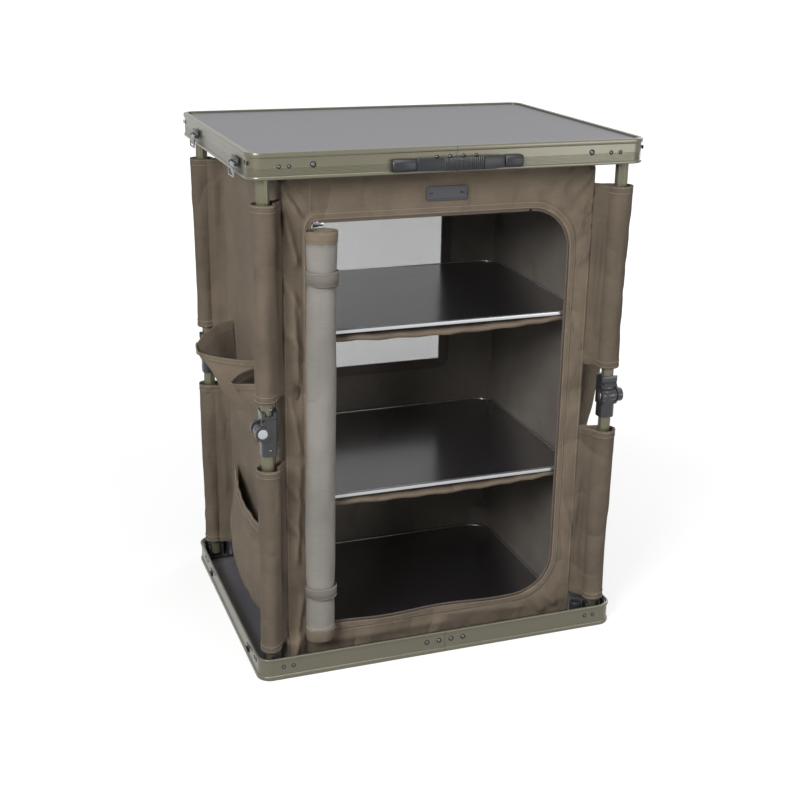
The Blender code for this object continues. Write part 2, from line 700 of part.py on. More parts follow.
# Side pockets: one bent band of cloth against the wall, open at the top
def pocket_band(side, levels):
    """Skins a pocket from rows of (distance from the wall, Y), given from the bottom up."""
    rings = []
    wall = BODY_HALF_X + 0.0040
    for row in levels:
        outer = []
        inner = []
        for index, (reach, y, z) in enumerate(row):
            edge = 0.0012 if index in (0, len(row) - 1) else CLOTH * 0.75
            place_y = y * POCKET_ALONG
            place_z = z * POCKET_UP
            outer.append((side * (wall + reach + 0.0015), place_y, place_z))
            inner.append((side * (wall + reach + 0.0015 - edge), place_y, place_z))
        ring = outer + inner[::-1]
        rings.append(ring)
    return in_triangles(skin(rings))


def upper_pocket(side):
    """The large gusseted pocket and the small one in front of it, deeper on the right."""
    mouth = ((0.000, 0.129, 0.462), (0.040, 0.095, 0.457), (0.0760, 0.048, 0.450),
             (0.045, 0.000, 0.444), (0.004, -0.033, 0.436), (0.040, -0.078, 0.440),
             (0.050, -0.105, 0.439), (0.030, -0.135, 0.438), (0.000, -0.160, 0.436))
    middle = ((0.000, 0.100, 0.400), (0.026, 0.066, 0.398), (0.044, 0.036, 0.396),
              (0.028, 0.002, 0.394), (0.003, -0.034, 0.392), (0.022, -0.076, 0.394),
              (0.027, -0.100, 0.393), (0.016, -0.130, 0.392), (0.000, -0.156, 0.392))
    low = ((0.000, 0.030, 0.330), (0.006, 0.020, 0.328), (0.009, 0.006, 0.326),
           (0.006, -0.012, 0.324), (0.001, -0.038, 0.326), (0.005, -0.070, 0.334),
           (0.006, -0.096, 0.336), (0.003, -0.124, 0.336), (0.000, -0.150, 0.336))
    foot = ((0.000, 0.000, 0.314), (0.001, -0.006, 0.314), (0.0015, -0.014, 0.314),
            (0.001, -0.024, 0.314), (0.000, -0.040, 0.318), (0.001, -0.068, 0.322),
            (0.001, -0.094, 0.324), (0.001, -0.122, 0.324), (0.000, -0.146, 0.324))
    if side > 0:
        mouth = mouth[:4] + ((0.004, -0.033, 0.436), (0.036, -0.082, 0.440),
                             (0.052, -0.126, 0.440), (0.036, -0.146, 0.438),
                             (0.000, -0.160, 0.436))
        middle = middle[:4] + ((0.003, -0.034, 0.392), (0.030, -0.080, 0.380),
                               (0.046, -0.126, 0.378), (0.030, -0.145, 0.380),
                               (0.000, -0.158, 0.385))
        low = low[:4] + ((0.001, -0.038, 0.326), (0.016, -0.076, 0.300),
                         (0.028, -0.126, 0.298), (0.016, -0.143, 0.300),
                         (0.000, -0.155, 0.302))
        foot = foot[:4] + ((0.000, -0.040, 0.314), (0.001, -0.070, 0.250),
                           (0.002, -0.120, 0.236), (0.001, -0.138, 0.236),
                           (0.000, -0.150, 0.240))
    return pocket_band(side, (foot, low, middle, mouth))


def lower_pocket(side):
    """The wide low pocket whose mouth slopes down towards the front."""
    mouth = ((0.000, 0.137, 0.212), (0.014, 0.100, 0.205), (0.024, 0.050, 0.195),
             (0.026, -0.010, 0.182), (0.022, -0.060, 0.170), (0.012, -0.110, 0.158),
             (0.000, -0.155, 0.148))
    middle = ((0.000, 0.137, 0.130), (0.016, 0.100, 0.126), (0.025, 0.050, 0.120),
              (0.027, -0.010, 0.114), (0.024, -0.060, 0.108), (0.013, -0.110, 0.102),
              (0.000, -0.155, 0.098))
    low = ((0.000, 0.132, 0.052), (0.010, 0.098, 0.050), (0.016, 0.050, 0.048),
           (0.018, -0.010, 0.048), (0.016, -0.060, 0.048), (0.009, -0.106, 0.048),
           (0.000, -0.148, 0.048))
    foot = ((0.000, 0.124, 0.040), (0.003, 0.094, 0.040), (0.004, 0.048, 0.040),
            (0.004, -0.010, 0.040), (0.004, -0.058, 0.040), (0.003, -0.100, 0.040),
            (0.000, -0.140, 0.040))
    return pocket_band(side, (foot, low, middle, mouth))


place("left_upper_pocket", upper_pocket(-1), "khaki_cloth", smooth=True)
place("left_lower_pocket", lower_pocket(-1), "khaki_cloth", smooth=True)
seam_x = (BODY_HALF_X + 0.0042, BODY_HALF_X + 0.0058)
seam = block(seam_x, (-0.156 * POCKET_ALONG, -0.146 * POCKET_ALONG),
             (0.140 * POCKET_UP, 0.330 * POCKET_UP))
right_pockets = combined(
    lower_pocket(1), [("UNION", seam), ("UNION", upper_pocket(1))], flat_limit=0.02)
place("right_pockets", in_triangles(right_pockets), "khaki_cloth", smooth=True)


# Shelves
def shelf_outline():
    """Outlines a board that stands clear of the cloth walls."""
    return rounded(SHELF_HALF_X, SHELF_HALF_Y, SHELF_CORNER, 4)


def sling_form(board_top):
    """The cloth under a shelf, sagging most in the middle of its front edge."""
    under = board_top - SHELF_THICK - GAP
    reach = SHELF_HALF_X - 0.004
    columns = [-reach + 2 * reach * i / 12 for i in range(13)]
    rings = []
    for x in columns:
        top = []
        bottom = []
        past_corner = max(0.0, abs(x) - (SHELF_HALF_X - SHELF_CORNER - 0.004))
        pulled_in = SHELF_CORNER - math.sqrt(max(0.0, SHELF_CORNER ** 2 - past_corner ** 2))
        edge = -SHELF_HALF_Y + 0.0015 + pulled_in
        back = SHELF_HALF_Y * 0.8
        for y in (edge, SHELF_HALF_Y * -0.57, back):
            front = (back - y) / (back - edge)
            sag = 0.0080 * (1 - (x / SHELF_HALF_X) ** 2) * front ** 2
            top.append((x, y, under - sag))
            bottom.append((x, y, under - sag - 0.0015))
        rings.append(top + bottom[::-1])
    return in_triangles(skin(rings))


floor_outline = rounded(SHELF_HALF_X, SHELF_HALF_Y, 0.040, 4)
place("floor_board", prism(floor_outline, BODY_LOW + CLOTH + GAP, FLOOR_TOP), "shelf_black")
for level, top in (("lower", LOWER_SHELF_TOP), ("upper", UPPER_SHELF_TOP)):
    place(level + "_shelf_board", prism(shelf_outline(), top - SHELF_THICK, top), "shelf_black")
    place(level + "_shelf_sling", sling_form(top), "khaki_cloth", smooth=True)


# Carrying handle on the front of the top rail
RAIL_FRONT = -DEPTH / 2


def handle_cap(x0, x1):
    """One end cap with rounded upper and lower edges."""
    back = RAIL_FRONT - GAP
    section = [(back, HANDLE_LOW + 0.001), (back, HANDLE_HIGH - 0.001)]
    section += [(back - 0.0015, HANDLE_HIGH), (back - 0.0050, HANDLE_HIGH - 0.0008)]
    section += [(back - 0.0078, HANDLE_HIGH - 0.0045), (back - 0.0078, HANDLE_LOW + 0.0045)]
    section += [(back - 0.0050, HANDLE_LOW + 0.0008), (back - 0.0015, HANDLE_LOW)]
    rings = []
    for x, scale in ((x0, 0.80), (x0 + 0.004, 1.0), (x1 - 0.004, 1.0), (x1, 0.80)):
        middle = (HANDLE_LOW + HANDLE_HIGH) / 2
        ring = []
        for y, z in section:
            ring.append((x, back + (y - back) * scale, middle + (z - middle) * (0.6 + 0.4 * scale)))
        rings.append(ring)
    return skin(rings)


def handle_strap():
    """The strap between the caps, bowed away from the rail."""
    rings = []
    ends = (HANDLE_LEFT[1] + GAP, HANDLE_RIGHT[0] - GAP)
    for i in range(13):
        share = i / 12
        x = ends[0] + (ends[1] - ends[0]) * share
        bow = math.sin(math.pi * min(1.0, max(0.0, share))) ** 0.5
        inner = RAIL_FRONT - 0.0022 - 0.0050 * bow
        outer = inner - 0.0030
        low = HANDLE_LOW + 0.0006
        high = HANDLE_HIGH - 0.0006
        section = [(inner, low + 0.001), (inner, high - 0.001), (outer + 0.0008, high)]
        section += [(outer, high - 0.0020), (outer, low + 0.0020), (outer + 0.0008, low)]
        rings.append([(x, y, z) for y, z in section])
    return skin(rings)


place("handle_cap_left", handle_cap(*HANDLE_LEFT), "strap_plastic")
place("handle_cap_right", handle_cap(*HANDLE_RIGHT), "strap_plastic")
place("handle_strap", handle_strap(), "strap_plastic")


# Draw latches on the left side of the top rail, catches on the base rail
RAIL_LEFT = -WIDTH / 2
LATCH_PIVOT_Z = HEIGHT - 0.0225
LATCH_PIVOT_X = RAIL_LEFT - 0.0040


def latch_plate(y0, y1, centre):
    """The plate on the rail, with two ears that carry the lever pin."""
    face = RAIL_LEFT - GAP
    plate = block((face - 0.0016, face), (y0, y1), (LATCH_PIVOT_Z - 0.0020, LATCH_PIVOT_Z + 0.0093))
    steps = []
    for y in (centre - 0.0168, centre + 0.0150):
        ear = [(face - 0.0001, LATCH_PIVOT_Z - 0.0022), (face - 0.0001, LATCH_PIVOT_Z + 0.003)]
        ear += arc((LATCH_PIVOT_X, LATCH_PIVOT_Z), 0.0022, 90, 270, 5)
        steps.append(("UNION", prism([(x, z) for x, z in ear], y, y + 0.0018, "Y")))
    rod = prism(disc((LATCH_PIVOT_X, LATCH_PIVOT_Z), 0.0009, 8), centre - 0.016, centre + 0.016, "Y")
    steps.append(("UNION", rod))
    return combined(plate, steps)


def latch_lever():
    """The lever, drawn about its own pivot, with a rolled knuckle and a pair of lugs."""
    sleeve = prism(disc((0, 0), 0.0018, 12), -0.0145, 0.0145, "Y")
    blade = block((-0.0018, -0.0006), (-0.0110, 0.0110), (-0.0135, 0.0002))
    pivot = prism(disc((-0.0028, -0.0060), 0.0016, 8), -0.0110, 0.0110, "Y")
    bore = prism(disc((0, 0), 0.0012, 8), -0.020, 0.020, "Y")
    return combined(sleeve, [("UNION", blade), ("UNION", pivot), ("DIFFERENCE", bore)])


def latch_loop():
    """The wire loop, drawn about its pivot on the lever."""
    thick = 0.0009
    bar = prism(disc((0, 0), 0.0010, 8), -0.0145, -0.0113, "Y")
    outer = prism([(-0.0145, -0.0115), (0.0145, -0.0115), (0.0145, 0.0010), (-0.0145, 0.0010)],
                  -thick, thick, "X")
    hole = prism([(-0.0122, -0.0092), (0.0122, -0.0092), (0.0122, 0.0030), (-0.0122, 0.0030)],
                 -0.004, 0.004, "X")
    steps = [("DIFFERENCE", hole), ("UNION", bar)]
    steps.append(("UNION", prism(disc((0, 0), 0.0010, 8), 0.0113, 0.0145, "Y")))
    return combined(outer, steps)


lever_mesh = latch_lever()
loop_mesh = latch_loop()
for place_name, centre, before, behind in (("front", -FRONT_LATCH, 0.0240, 0.0175),
                                           ("rear", REAR_LATCH, 0.0240, 0.0175)):
    y0 = centre - before
    y1 = centre + behind
    pivot = (LATCH_PIVOT_X, centre, LATCH_PIVOT_Z)
    loop_at = (LATCH_PIVOT_X - 0.0028, centre, LATCH_PIVOT_Z - 0.0060)
    place("latch_plate_" + place_name, latch_plate(y0, y1, centre), "dark_plate")
    place("latch_lever_" + place_name, lever_mesh, "bright_wire", pivot)
    place("latch_loop_" + place_name, loop_mesh, "bright_wire", loop_at)


def latch_catch(y0, y1, z0, z1):
    """The hooked plate on the base rail that the wire loop draws down on."""
    face = RAIL_LEFT - GAP
    section = [(face, z0), (face, z1), (face - 0.0012, z1), (face - 0.0012, z0 + 0.0034)]
    section += [(face - 0.0026, z0 + 0.0022), (face - 0.0026, z0 + 0.0042)]
    section += [(face - 0.0040, z0 + 0.0042), (face - 0.0040, z0 + 0.0010)]
    section += [(face - 0.0030, z0)]
    return prism(section, y0, y1, "Y")


for place_name, centre in (("front", -FRONT_LATCH), ("rear", REAR_LATCH)):
    catch = latch_catch(centre - 0.0080, centre + 0.0080, 0.0200, 0.0300)
    place("latch_catch_" + place_name, catch, "dark_plate")
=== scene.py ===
import math

import bmesh
import bpy
from mathutils import Matrix, Vector, noise


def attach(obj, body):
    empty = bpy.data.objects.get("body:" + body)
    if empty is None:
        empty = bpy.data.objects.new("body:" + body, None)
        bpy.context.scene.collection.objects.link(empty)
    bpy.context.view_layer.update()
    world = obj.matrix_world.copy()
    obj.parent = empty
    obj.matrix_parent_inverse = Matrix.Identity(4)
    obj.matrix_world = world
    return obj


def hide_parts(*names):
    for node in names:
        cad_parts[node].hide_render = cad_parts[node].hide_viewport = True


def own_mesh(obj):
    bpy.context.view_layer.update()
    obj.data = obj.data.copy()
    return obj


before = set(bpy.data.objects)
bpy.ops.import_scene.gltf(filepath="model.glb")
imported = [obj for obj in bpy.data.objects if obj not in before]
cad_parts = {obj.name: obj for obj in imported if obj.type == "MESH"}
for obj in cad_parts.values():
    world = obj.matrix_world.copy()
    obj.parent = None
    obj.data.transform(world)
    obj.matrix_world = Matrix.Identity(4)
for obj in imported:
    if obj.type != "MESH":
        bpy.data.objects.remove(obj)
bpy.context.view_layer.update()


def metres(table):
    """Reads a nest of numbers that is written in millimetres."""
    return [metres(item) for item in table] if isinstance(table, tuple) else table / 1000


# Sizes of the cupboard, in metres
WIDTH, DEPTH, HEIGHT = 0.600, 0.460, 0.800
RAIL_CORNER = 0.022
RIVET_INSET = 0.0016
LEG_X, LEG_Y = 0.274, 0.204
TUBE_RADIUS = 0.0095
BODY_X, BODY_Y = 0.245, 0.180
BODY_LOW, BODY_HIGH = 0.009, 0.788
FRONT_HALF = 0.2425
POST_X, POST_Y, POST_RADIUS = 0.240, 0.181, 0.0128
CLOTH = 0.0014
# Openings in the cloth: left, right, low, high, radii of the left and of the right corners
DOOR = (-0.200, 0.205, 0.055, 0.695, 0.010, 0.065)
WINDOW = (-0.145, 0.145, 0.350, 0.700, 0.005, 0.005)
WINDOW_HALF, WINDOW_LOW, WINDOW_HIGH = WINDOW[1:4]
LEGS = {
    "front_left": (-LEG_X, -LEG_Y, math.pi),
    "front_right": (LEG_X, -LEG_Y, -math.pi / 2),
    "rear_right": (LEG_X, LEG_Y, 0.0),
    "rear_left": (-LEG_X, LEG_Y, math.pi / 2),
}
FOLD = dict(joint="fold", axis=(0, 0, 1), anchor=(0, 0, BODY_LOW), keep=0.068)
FRONTWARD, BACKWARD, UPRIGHT = (0, -1, 0), (0, 1, 0), (0, 0, 1)
# Camera at the photograph's angle: place, focal length, then azimuth, elevation and roll
CAMERA_PLACE, CAMERA_LENS = (-0.697, -1.922, 1.069), 58.77
CAMERA_ANGLES = 20.01, 19.43, 0.88


def placed(name, data):
    """Adds an object to the scene."""
    thing = bpy.data.objects.new(name, data)
    bpy.context.scene.collection.objects.link(thing)
    return thing


def add_camera():
    azimuth, elevation, roll = map(math.radians, CAMERA_ANGLES)
    ahead = Vector((math.sin(azimuth) * math.cos(elevation),
                    math.cos(azimuth) * math.cos(elevation), -math.sin(elevation)))
    right = Vector((math.cos(azimuth), -math.sin(azimuth), 0))
    up = right.cross(ahead)
    across = math.cos(roll) * right + math.sin(roll) * up
    above = -math.sin(roll) * right + math.cos(roll) * up
    turn = Matrix((across, above, -ahead)).transposed()
    data = bpy.data.cameras.new("camera")
    data.lens = CAMERA_LENS
    data.sensor_width = 36
    eye = placed("camera", data)
    eye.matrix_world = Matrix.Translation(CAMERA_PLACE) @ turn.to_4x4()
    bpy.context.scene.camera = eye


add_camera()


# Node trees
class Wire:
    """One value in a node tree; sums and products of it add Math nodes."""

    def __init__(self, graph, socket):
        self.graph = graph
        self.socket = socket

    def _with(self, operation, *values):
        return self.graph.add("ShaderNodeMath", dict(enumerate(values)), operation=operation)

    def __add__(self, other):
        return self._with("ADD", self, other)

    def __mul__(self, other):
        return self._with("MULTIPLY", self, other)

    def __sub__(self, other):
        return self._with("SUBTRACT", self, other)

    def __rsub__(self, other):
        return self._with("SUBTRACT", other, self)

    def over(self, limit):
        return self._with("GREATER_THAN", self, limit)

    def most(self, other):
        return self._with("MAXIMUM", self, other)

    def sine(self):
        return self._with("SINE", self)

    def size(self):
        return self._with("ABSOLUTE", self)

    def held(self):
        return self.graph.add("ShaderNodeClamp", {0: self})


class Graph:
    """A node tree under construction."""

    def __init__(self, tree):
        self.tree = tree

    def join(self, value, socket):
        """Links a wire to a socket, or sets the socket to a plain value."""
        if isinstance(value, Wire):
            self.tree.links.new(value.socket, socket)
        else:
            socket.default_value = (*value, 1.0) if socket.type == "RGBA" else value

    def add(self, kind, values=(), output=0, **settings):
        node = self.tree.nodes.new(kind)
        for key, value in settings.items():
            setattr(node, key, value)
        for key, value in dict(values).items():
            self.join(value, node.inputs[key])
        return Wire(self, node.outputs[output])


# Finishes
class Finish(Graph):
    """A material under construction."""

    def __init__(self, name, values):
        self.material = bpy.data.materials.new(name)
        self.material.use_nodes = True
        super().__init__(self.material.node_tree)
        self.shader = self.tree.nodes["Principled BSDF"]
        self.feed(values)
        self.place = self.add("ShaderNodeTexCoord", output="Object")

    def feed(self, values):
        for socket, value in values.items():
            self.join(value, self.shader.inputs[socket])

    def axes(self):
        parts = self.add("ShaderNodeSeparateXYZ", {0: self.place}).socket.node
        return [Wire(self, out) for out in parts.outputs]

    def grain(self, scale, detail=3.0, stretch=None, roughness=0.5):
        where = self.place
        if stretch:
            where = self.add("ShaderNodeMapping", {"Vector": where, "Scale": stretch})
        return self.add("ShaderNodeTexNoise", {"Vector": where, "Scale": scale,
                                               "Detail": detail, "Roughness": roughness})

    def mix(self, amount, first, second):
        return self.add("ShaderNodeMix", {0: amount, 6: first, 7: second}, 2, data_type="RGBA")

    def shade(self, amount, colour, low, high):
        """Varies the base colour between two multiples of one colour."""
        first, second = (tuple(min(1.0, c * by) for c in colour) for by in (low, high))
        self.feed({"Base Color": self.mix(amount, first, second)})

    def bump(self, height, strength):
        values = {"Height": height, "Distance": 1.0, "Strength": strength}
        self.feed({"Normal": self.add("ShaderNodeBump", values, "Normal")})


def tone(*colour):
    """Turns an 8-bit picture colour into a linear one."""
    shares = [value / 255 for value in colour]
    return tuple(s / 12.92 if s <= 0.04045 else ((s + 0.055) / 1.055) ** 2.4 for s in shares)


def woven(name, colour, light=0.18, pitch=0.0009, crumple=0.0016, dark=0.22, rough=0.88):
    """Plain woven cloth: threads both ways, slubs, soft mottling and fine creases."""
    finish = Finish(name, {"Roughness": rough, "Sheen Weight": 0.04, "Specular IOR Level": 0.28})
    x, y, z = finish.axes()
    turns = 2 * math.pi / pitch
    threads = ((x + y) * turns).sine() * (z * turns).sine() * 0.5 + 0.5
    cloud = finish.grain(9, 4)
    slub = finish.grain(60, 2, (1, 1, 6))
    share = (cloud * 1.5 - 0.45 + slub * 0.35 - 0.12 + threads * 0.25).held()
    finish.shade(share, colour, 1 - dark, 1 + light)
    finish.feed({"Roughness": (cloud * 0.18 + (rough - 0.1)).held()})
    crease = finish.grain(30, 4, (1, 0.35, 0.6))
    fold = (finish.grain(13, 2, (1, 0.35, 0.75), 0.4) - 0.5).size()
    height = threads * 0.00010 + crease * (crumple * 3.0) + fold * (crumple * 18)
    finish.bump(height, 0.8)
    return finish.material


def coated(name, colour, rough, metallic=0.0, grit=900, depth=0.00004, wear=0.12, coat=0.0,
           coat_rough=0.22, coat_ior=1.5):
    """Painted or moulded surface with a fine grain and faint handling marks."""
    finish = Finish(name, {"Roughness": rough, "Metallic": metallic, "Coat Weight": coat,
                           "Coat Roughness": coat_rough, "Coat IOR": coat_ior})
    fine = finish.grain(grit, 2)
    broad = finish.grain(7, 4)
    scuff = finish.grain(40, 3, (1, 1, 0.25))
    finish.shade((broad * 1.4 - 0.2 + fine * 0.3).held(), colour, 1 - wear, 1 + wear)
    finish.feed({"Roughness": (broad * wear + scuff * wear + (rough - wear)).held()})
    finish.bump(fine * depth, 0.6)
    return finish.material


def plated(name, colour, rough):
    """Bright metal with faint brushing."""
    finish = Finish(name, {"Roughness": rough, "Metallic": 1.0})
    brush = finish.grain(300, 2, (1, 1, 0.06))
    smudge = finish.grain(60, 3)
    finish.shade(smudge, colour, 0.82, 1)
    finish.feed({"Roughness": (brush * 0.12 + smudge * 0.10 + (rough - 0.08)).held()})
    finish.bump(brush * 0.00003, 0.5)
    return finish.material


def netting(name, colour, pitch=0.0011):
    """Knitted net: diamond holes see through, with soft threads between."""
    finish = Finish(name, {"Roughness": 0.85, "Sheen Weight": 0.1})
    x, y, z = finish.axes()
    turns = 2 * math.pi / pitch
    crossing = ((x + z) * turns).sine() * ((x - z) * turns).sine()
    hole = (crossing * 0.5 + 0.5).over(0.60)
    finish.shade(finish.grain(12, 3), colour, 0.85, 1)
    finish.feed({"Alpha": 1 - hole})
    finish.bump(crossing * 0.0002, 0.5)
    return finish.material


FINISHES = {
    "khaki": woven("khaki_cloth", tone(117, 105, 90), 0.24, dark=0.28),
    "khaki_dark": woven("khaki_hem", tone(109, 98, 84), crumple=0.0006),
    # The sleeves take a darker copy of the khaki: painted shade on the sleeves.
    "sleeve": woven("sleeve_cloth_painted_shade", tone(103, 92, 79), 0.24, dark=0.28),
    "inside": woven("inside_coating", tone(110, 104, 97), crumple=0.0012, rough=0.70),
    "lining": woven("grey_lining", tone(136, 132, 126), crumple=0.0008),
    # A darker copy of the khaki for the pockets' inner faces: painted shade inside the pockets.
    "pocket": woven("pocket_inside_painted_shade", tone(98, 90, 80), crumple=0.0008),
    # A darker copy of the inside coating: painted shade for the rear inside, which gets little
    # light.
    "shade": woven("rear_inside_painted_shade", tone(92, 84, 80), crumple=0.0012, rough=0.70),
    "thread": woven("thread", tone(178, 166, 148), crumple=0.0002),
    "net": netting("window_net", tone(176, 178, 184)),
    "rail": coated("rail_paint", tone(106, 103, 86), 0.32, 0.40, 1200, 0.00003, 0.06, 0.4),
    "tube": coated("tube_paint", tone(110, 107, 88), 0.36, 0.45, 1500, 0.00003, 0.08),
    "laminate": coated("board_laminate", tone(99, 98, 103), 0.40, 0.0, 260, 0.0, 0.025),
    "slate": coated("dark_moulding", tone(41, 42, 46), 0.30, 0.0, 900, 0.00006, 0.20, 0.25),
    "button": coated("button_grey", tone(176, 177, 181), 0.40, grit=1500, wear=0.07),
    "plate": coated("dark_plate", tone(42, 43, 46), 0.34, 0.4, 1000, wear=0.14),
    "shelf": coated("shelf_black", tone(37, 35, 40), 0.32, 0.0, 500, 0.000002, 0.05, 1.0,
                    0.20, 3.4),
    "edging": coated("shelf_edging", tone(186, 188, 190), 0.30, 0.8, 900, 0.00001, 0.08),
    "strap": coated("strap_moulding", tone(25, 26, 31), 0.42, grit=1300, wear=0.14),
    "badge": coated("badge_rubber", tone(62, 63, 69), 0.46, grit=1300, wear=0.12),
    "tape": woven("zip_tape", tone(96, 85, 76), pitch=0.0007, crumple=0.0002),
    "tie": woven("tie_webbing", tone(114, 108, 103), pitch=0.0007, crumple=0.0003),
    "teeth": coated("zip_teeth", tone(112, 98, 90), 0.35, 0.0, 1500, 0.00002, 0.08),
    "steel": plated("pin_steel", (0.40, 0.40, 0.41), 0.26),
    "rivet": plated("rivet_steel", (0.17, 0.17, 0.17), 0.24),
    "bright": plated("bright_wire", (0.36, 0.36, 0.37), 0.22),
    # Dark seams, and the dark discs painted as shade round the rivet heads.
    "bore": coated("seam_dark_and_painted_shade", tone(28, 28, 30), 0.60, wear=0.10),
}


# Making and placing pieces
def put(name, mesh, body, slot, finishes, smooth=True, sharp=0, node="", fold=None):
    """Adds one piece with finishes, shading and body, hiding the CAD node it replaces; slot is not
    used, and a fold only gives it its own mesh.
    """
    piece = placed(name, mesh)
    for key in finishes.split():
        mesh.materials.append(FINISHES[key])
    if smooth:
        mesh.shade_smooth()
    if sharp:
        mesh.set_sharp_from_angle(angle=math.radians(sharp))
    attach(piece, body)
    if node:
        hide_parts(node)
    if fold:
        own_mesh(piece)
    return piece


def net_of(rows, wrap=False, skip=None, caps=False, weld=False, score=None):
    """Joins equal rows of points into one surface; its faces' scores add up to more than 0."""
    bm = bmesh.new()
    made = [[bm.verts.new(p) for p in row] for row in rows]
    count = len(made[0])
    for i in range(len(made) - 1):
        for j in range(count if wrap else count - 1):
            if not (skip and skip(i, j)):
                k = (j + 1) % count
                bm.faces.new((made[i][j], made[i][k], made[i + 1][k], made[i + 1][j]))
    if caps:
        bm.faces.new(made[0][::-1])
        bm.faces.new(made[-1])
    loose = [v for v in bm.verts if not v.link_faces]
    bmesh.ops.delete(bm, geom=loose, context="VERTS")
    bm.normal_update()
    if weld:
        bmesh.ops.remove_doubles(bm, verts=bm.verts, dist=0.00001)
        bmesh.ops.recalc_face_normals(bm, faces=bm.faces)
    if score and sum(score(face) for face in bm.faces) < 0:
        bmesh.ops.reverse_faces(bm, faces=bm.faces)
    mesh = bpy.data.meshes.new("surface")
    bm.to_mesh(mesh)
    bm.free()
    return mesh


def solid(name, rows, body, slot, finish, caps=False, **more):
    """A closed form through equal rings of points."""
    return put(name, net_of(rows, wrap=True, caps=caps, weld=True), body, slot, finish, **more)


def area_of(mesh):
    return sum(face.area for face in mesh.polygons)


def cloth(name, mesh, flat, finishes="khaki inside", slot="khaki_cloth",
          thick=CLOTH, body="base", fold=FOLD, node="", inward=True):
    """Finishes one sheet with its thickness; the area of its cut is reckoned from its own mesh but
    not used, and a fold only gives it its own mesh.
    """
    piece = put(name, mesh, body, slot, finishes, node=node)
    area = min(area_of(mesh), flat[0] * flat[1])
    area = max(area, 0.31 * flat[0] * flat[1])
    if thick:
        wall = piece.modifiers.new("thickness", "SOLIDIFY")
        wall.thickness = thick
        wall.offset = -1 if inward else 1
        wall.material_offset = 1 if len(mesh.materials) > 1 else 0
    if fold:
        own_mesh(piece)
    return piece


def softened(node, body, slot, finish, width, segments):
    """A copy of a CAD piece with its sharp edges eased."""
    bm = bmesh.new()
    bm.from_mesh(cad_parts[node].data)
    bmesh.ops.remove_doubles(bm, verts=bm.verts, dist=0.00002)
    bmesh.ops.dissolve_limit(bm, angle_limit=math.radians(1.0), verts=bm.verts, edges=bm.edges)
    sharp = [e for e in bm.edges if len(e.link_faces) == 2
             and e.calc_face_angle(0) > math.radians(32)]
    if sharp:
        bmesh.ops.bevel(bm, geom=sharp, offset=width, segments=segments, profile=0.5,
                        affect="EDGES", clamp_overlap=True)
    mesh = bpy.data.meshes.new(node + "_eased")
    bm.to_mesh(mesh)
    bm.free()
    put(node + "_piece", mesh, body, slot, finish, sharp=34, node=node)


def in_leg_frame(corner, u, v, z):
    """Turns a point of the leg's own frame into the cupboard's."""
    x, y, turn = LEGS[corner]
    return Vector((x + u * math.cos(turn) - v * math.sin(turn),
                   y + u * math.sin(turn) + v * math.cos(turn), z))


def arc(cx, cy, radius, start, end, steps):
    angles = [math.radians(start + (end - start) * i / steps) for i in range(steps + 1)]
    return [(cx + radius * math.cos(a), cy + radius * math.sin(a)) for a in angles]


def drift(x, y, z, size, seed=0.0):
    """Smooth noise between -1 and 1."""
    return noise.noise(Vector((x / size + seed, y / size - seed, z / size + 2 * seed)))


def clamp(value):
    return max(0.0, min(1.0, value))


def smooth_step(value):
    value = clamp(value)
    return value * value * (3 - 2 * value)


# Repeated small things, placed along paths by Geometry Nodes
def scatter_tree(name, shape, finish, sizes):
    """Puts one small form on every point of a mesh, turned by its stored directions."""
    tree = bpy.data.node_groups.new(name, "GeometryNodeTree")
    tree.interface.new_socket("Geometry", in_out="INPUT", socket_type="NodeSocketGeometry")
    for label, value in sizes.items():
        socket = tree.interface.new_socket(label, in_out="INPUT", socket_type="NodeSocketFloat")
        socket.default_value = value
    tree.interface.new_socket("Geometry", in_out="OUTPUT", socket_type="NodeSocketGeometry")
    graph = Graph(tree)
    enter = tree.nodes.new("NodeGroupInput")
    points, *given = [Wire(graph, enter.outputs[key]) for key in (0, *sizes)]
    along, face = [graph.add("GeometryNodeInputNamedAttribute", {"Name": key}, "Attribute",
                             data_type="FLOAT_VECTOR") for key in ("along", "face")]
    align = "FunctionNodeAlignRotationToVector"
    turn = graph.add(align, {"Vector": face}, axis="Z")
    turn = graph.add(align, {"Rotation": turn, "Vector": along}, axis="X", pivot_axis="Z")
    form = graph.add("GeometryNodeInstanceOnPoints", {
        "Points": points, "Instance": shape(graph, *given), "Rotation": turn})
    form = graph.add("GeometryNodeRealizeInstances", {0: form})
    form = graph.add("GeometryNodeSetMaterial", {0: form, "Material": FINISHES[finish]})
    graph.join(form, tree.nodes.new("NodeGroupOutput").inputs[0])
    return tree


def dome_form(graph, radius):
    """A low dome: a small ball flattened and half sunk."""
    values = {"Segments": 14, "Rings": 8, "Radius": radius}
    ball = graph.add("GeometryNodeMeshUVSphere", values, "Mesh")
    return graph.add("GeometryNodeTransform", {"Geometry": ball, "Scale": (1, 1, 0.42)})


def shade_disc_form(graph, radius):
    """A thin flat dark disc round a rivet's head, painted shade round the head."""
    values = {"Vertices": 20, "Depth": 0.0007, "Radius": radius}
    return graph.add("GeometryNodeMeshCylinder", values, "Mesh")


def stitch_form(graph, length, width):
    """One stitch: a short rounded bar."""
    values = {"Segments": 6, "Rings": 4, "Radius": 1.0}
    bar = graph.add("GeometryNodeMeshUVSphere", values, "Mesh")
    size = graph.add("ShaderNodeCombineXYZ", {0: length, 1: width, 2: width})
    return graph.add("GeometryNodeTransform", {"Geometry": bar, "Scale": size})


def tooth_form(graph, length, width, height):
    """One zip tooth: a small bar across the tape."""
    size = graph.add("ShaderNodeCombineXYZ", {0: length, 1: width, 2: height})
    return graph.add("GeometryNodeMeshCube", {"Size": size}, "Mesh")


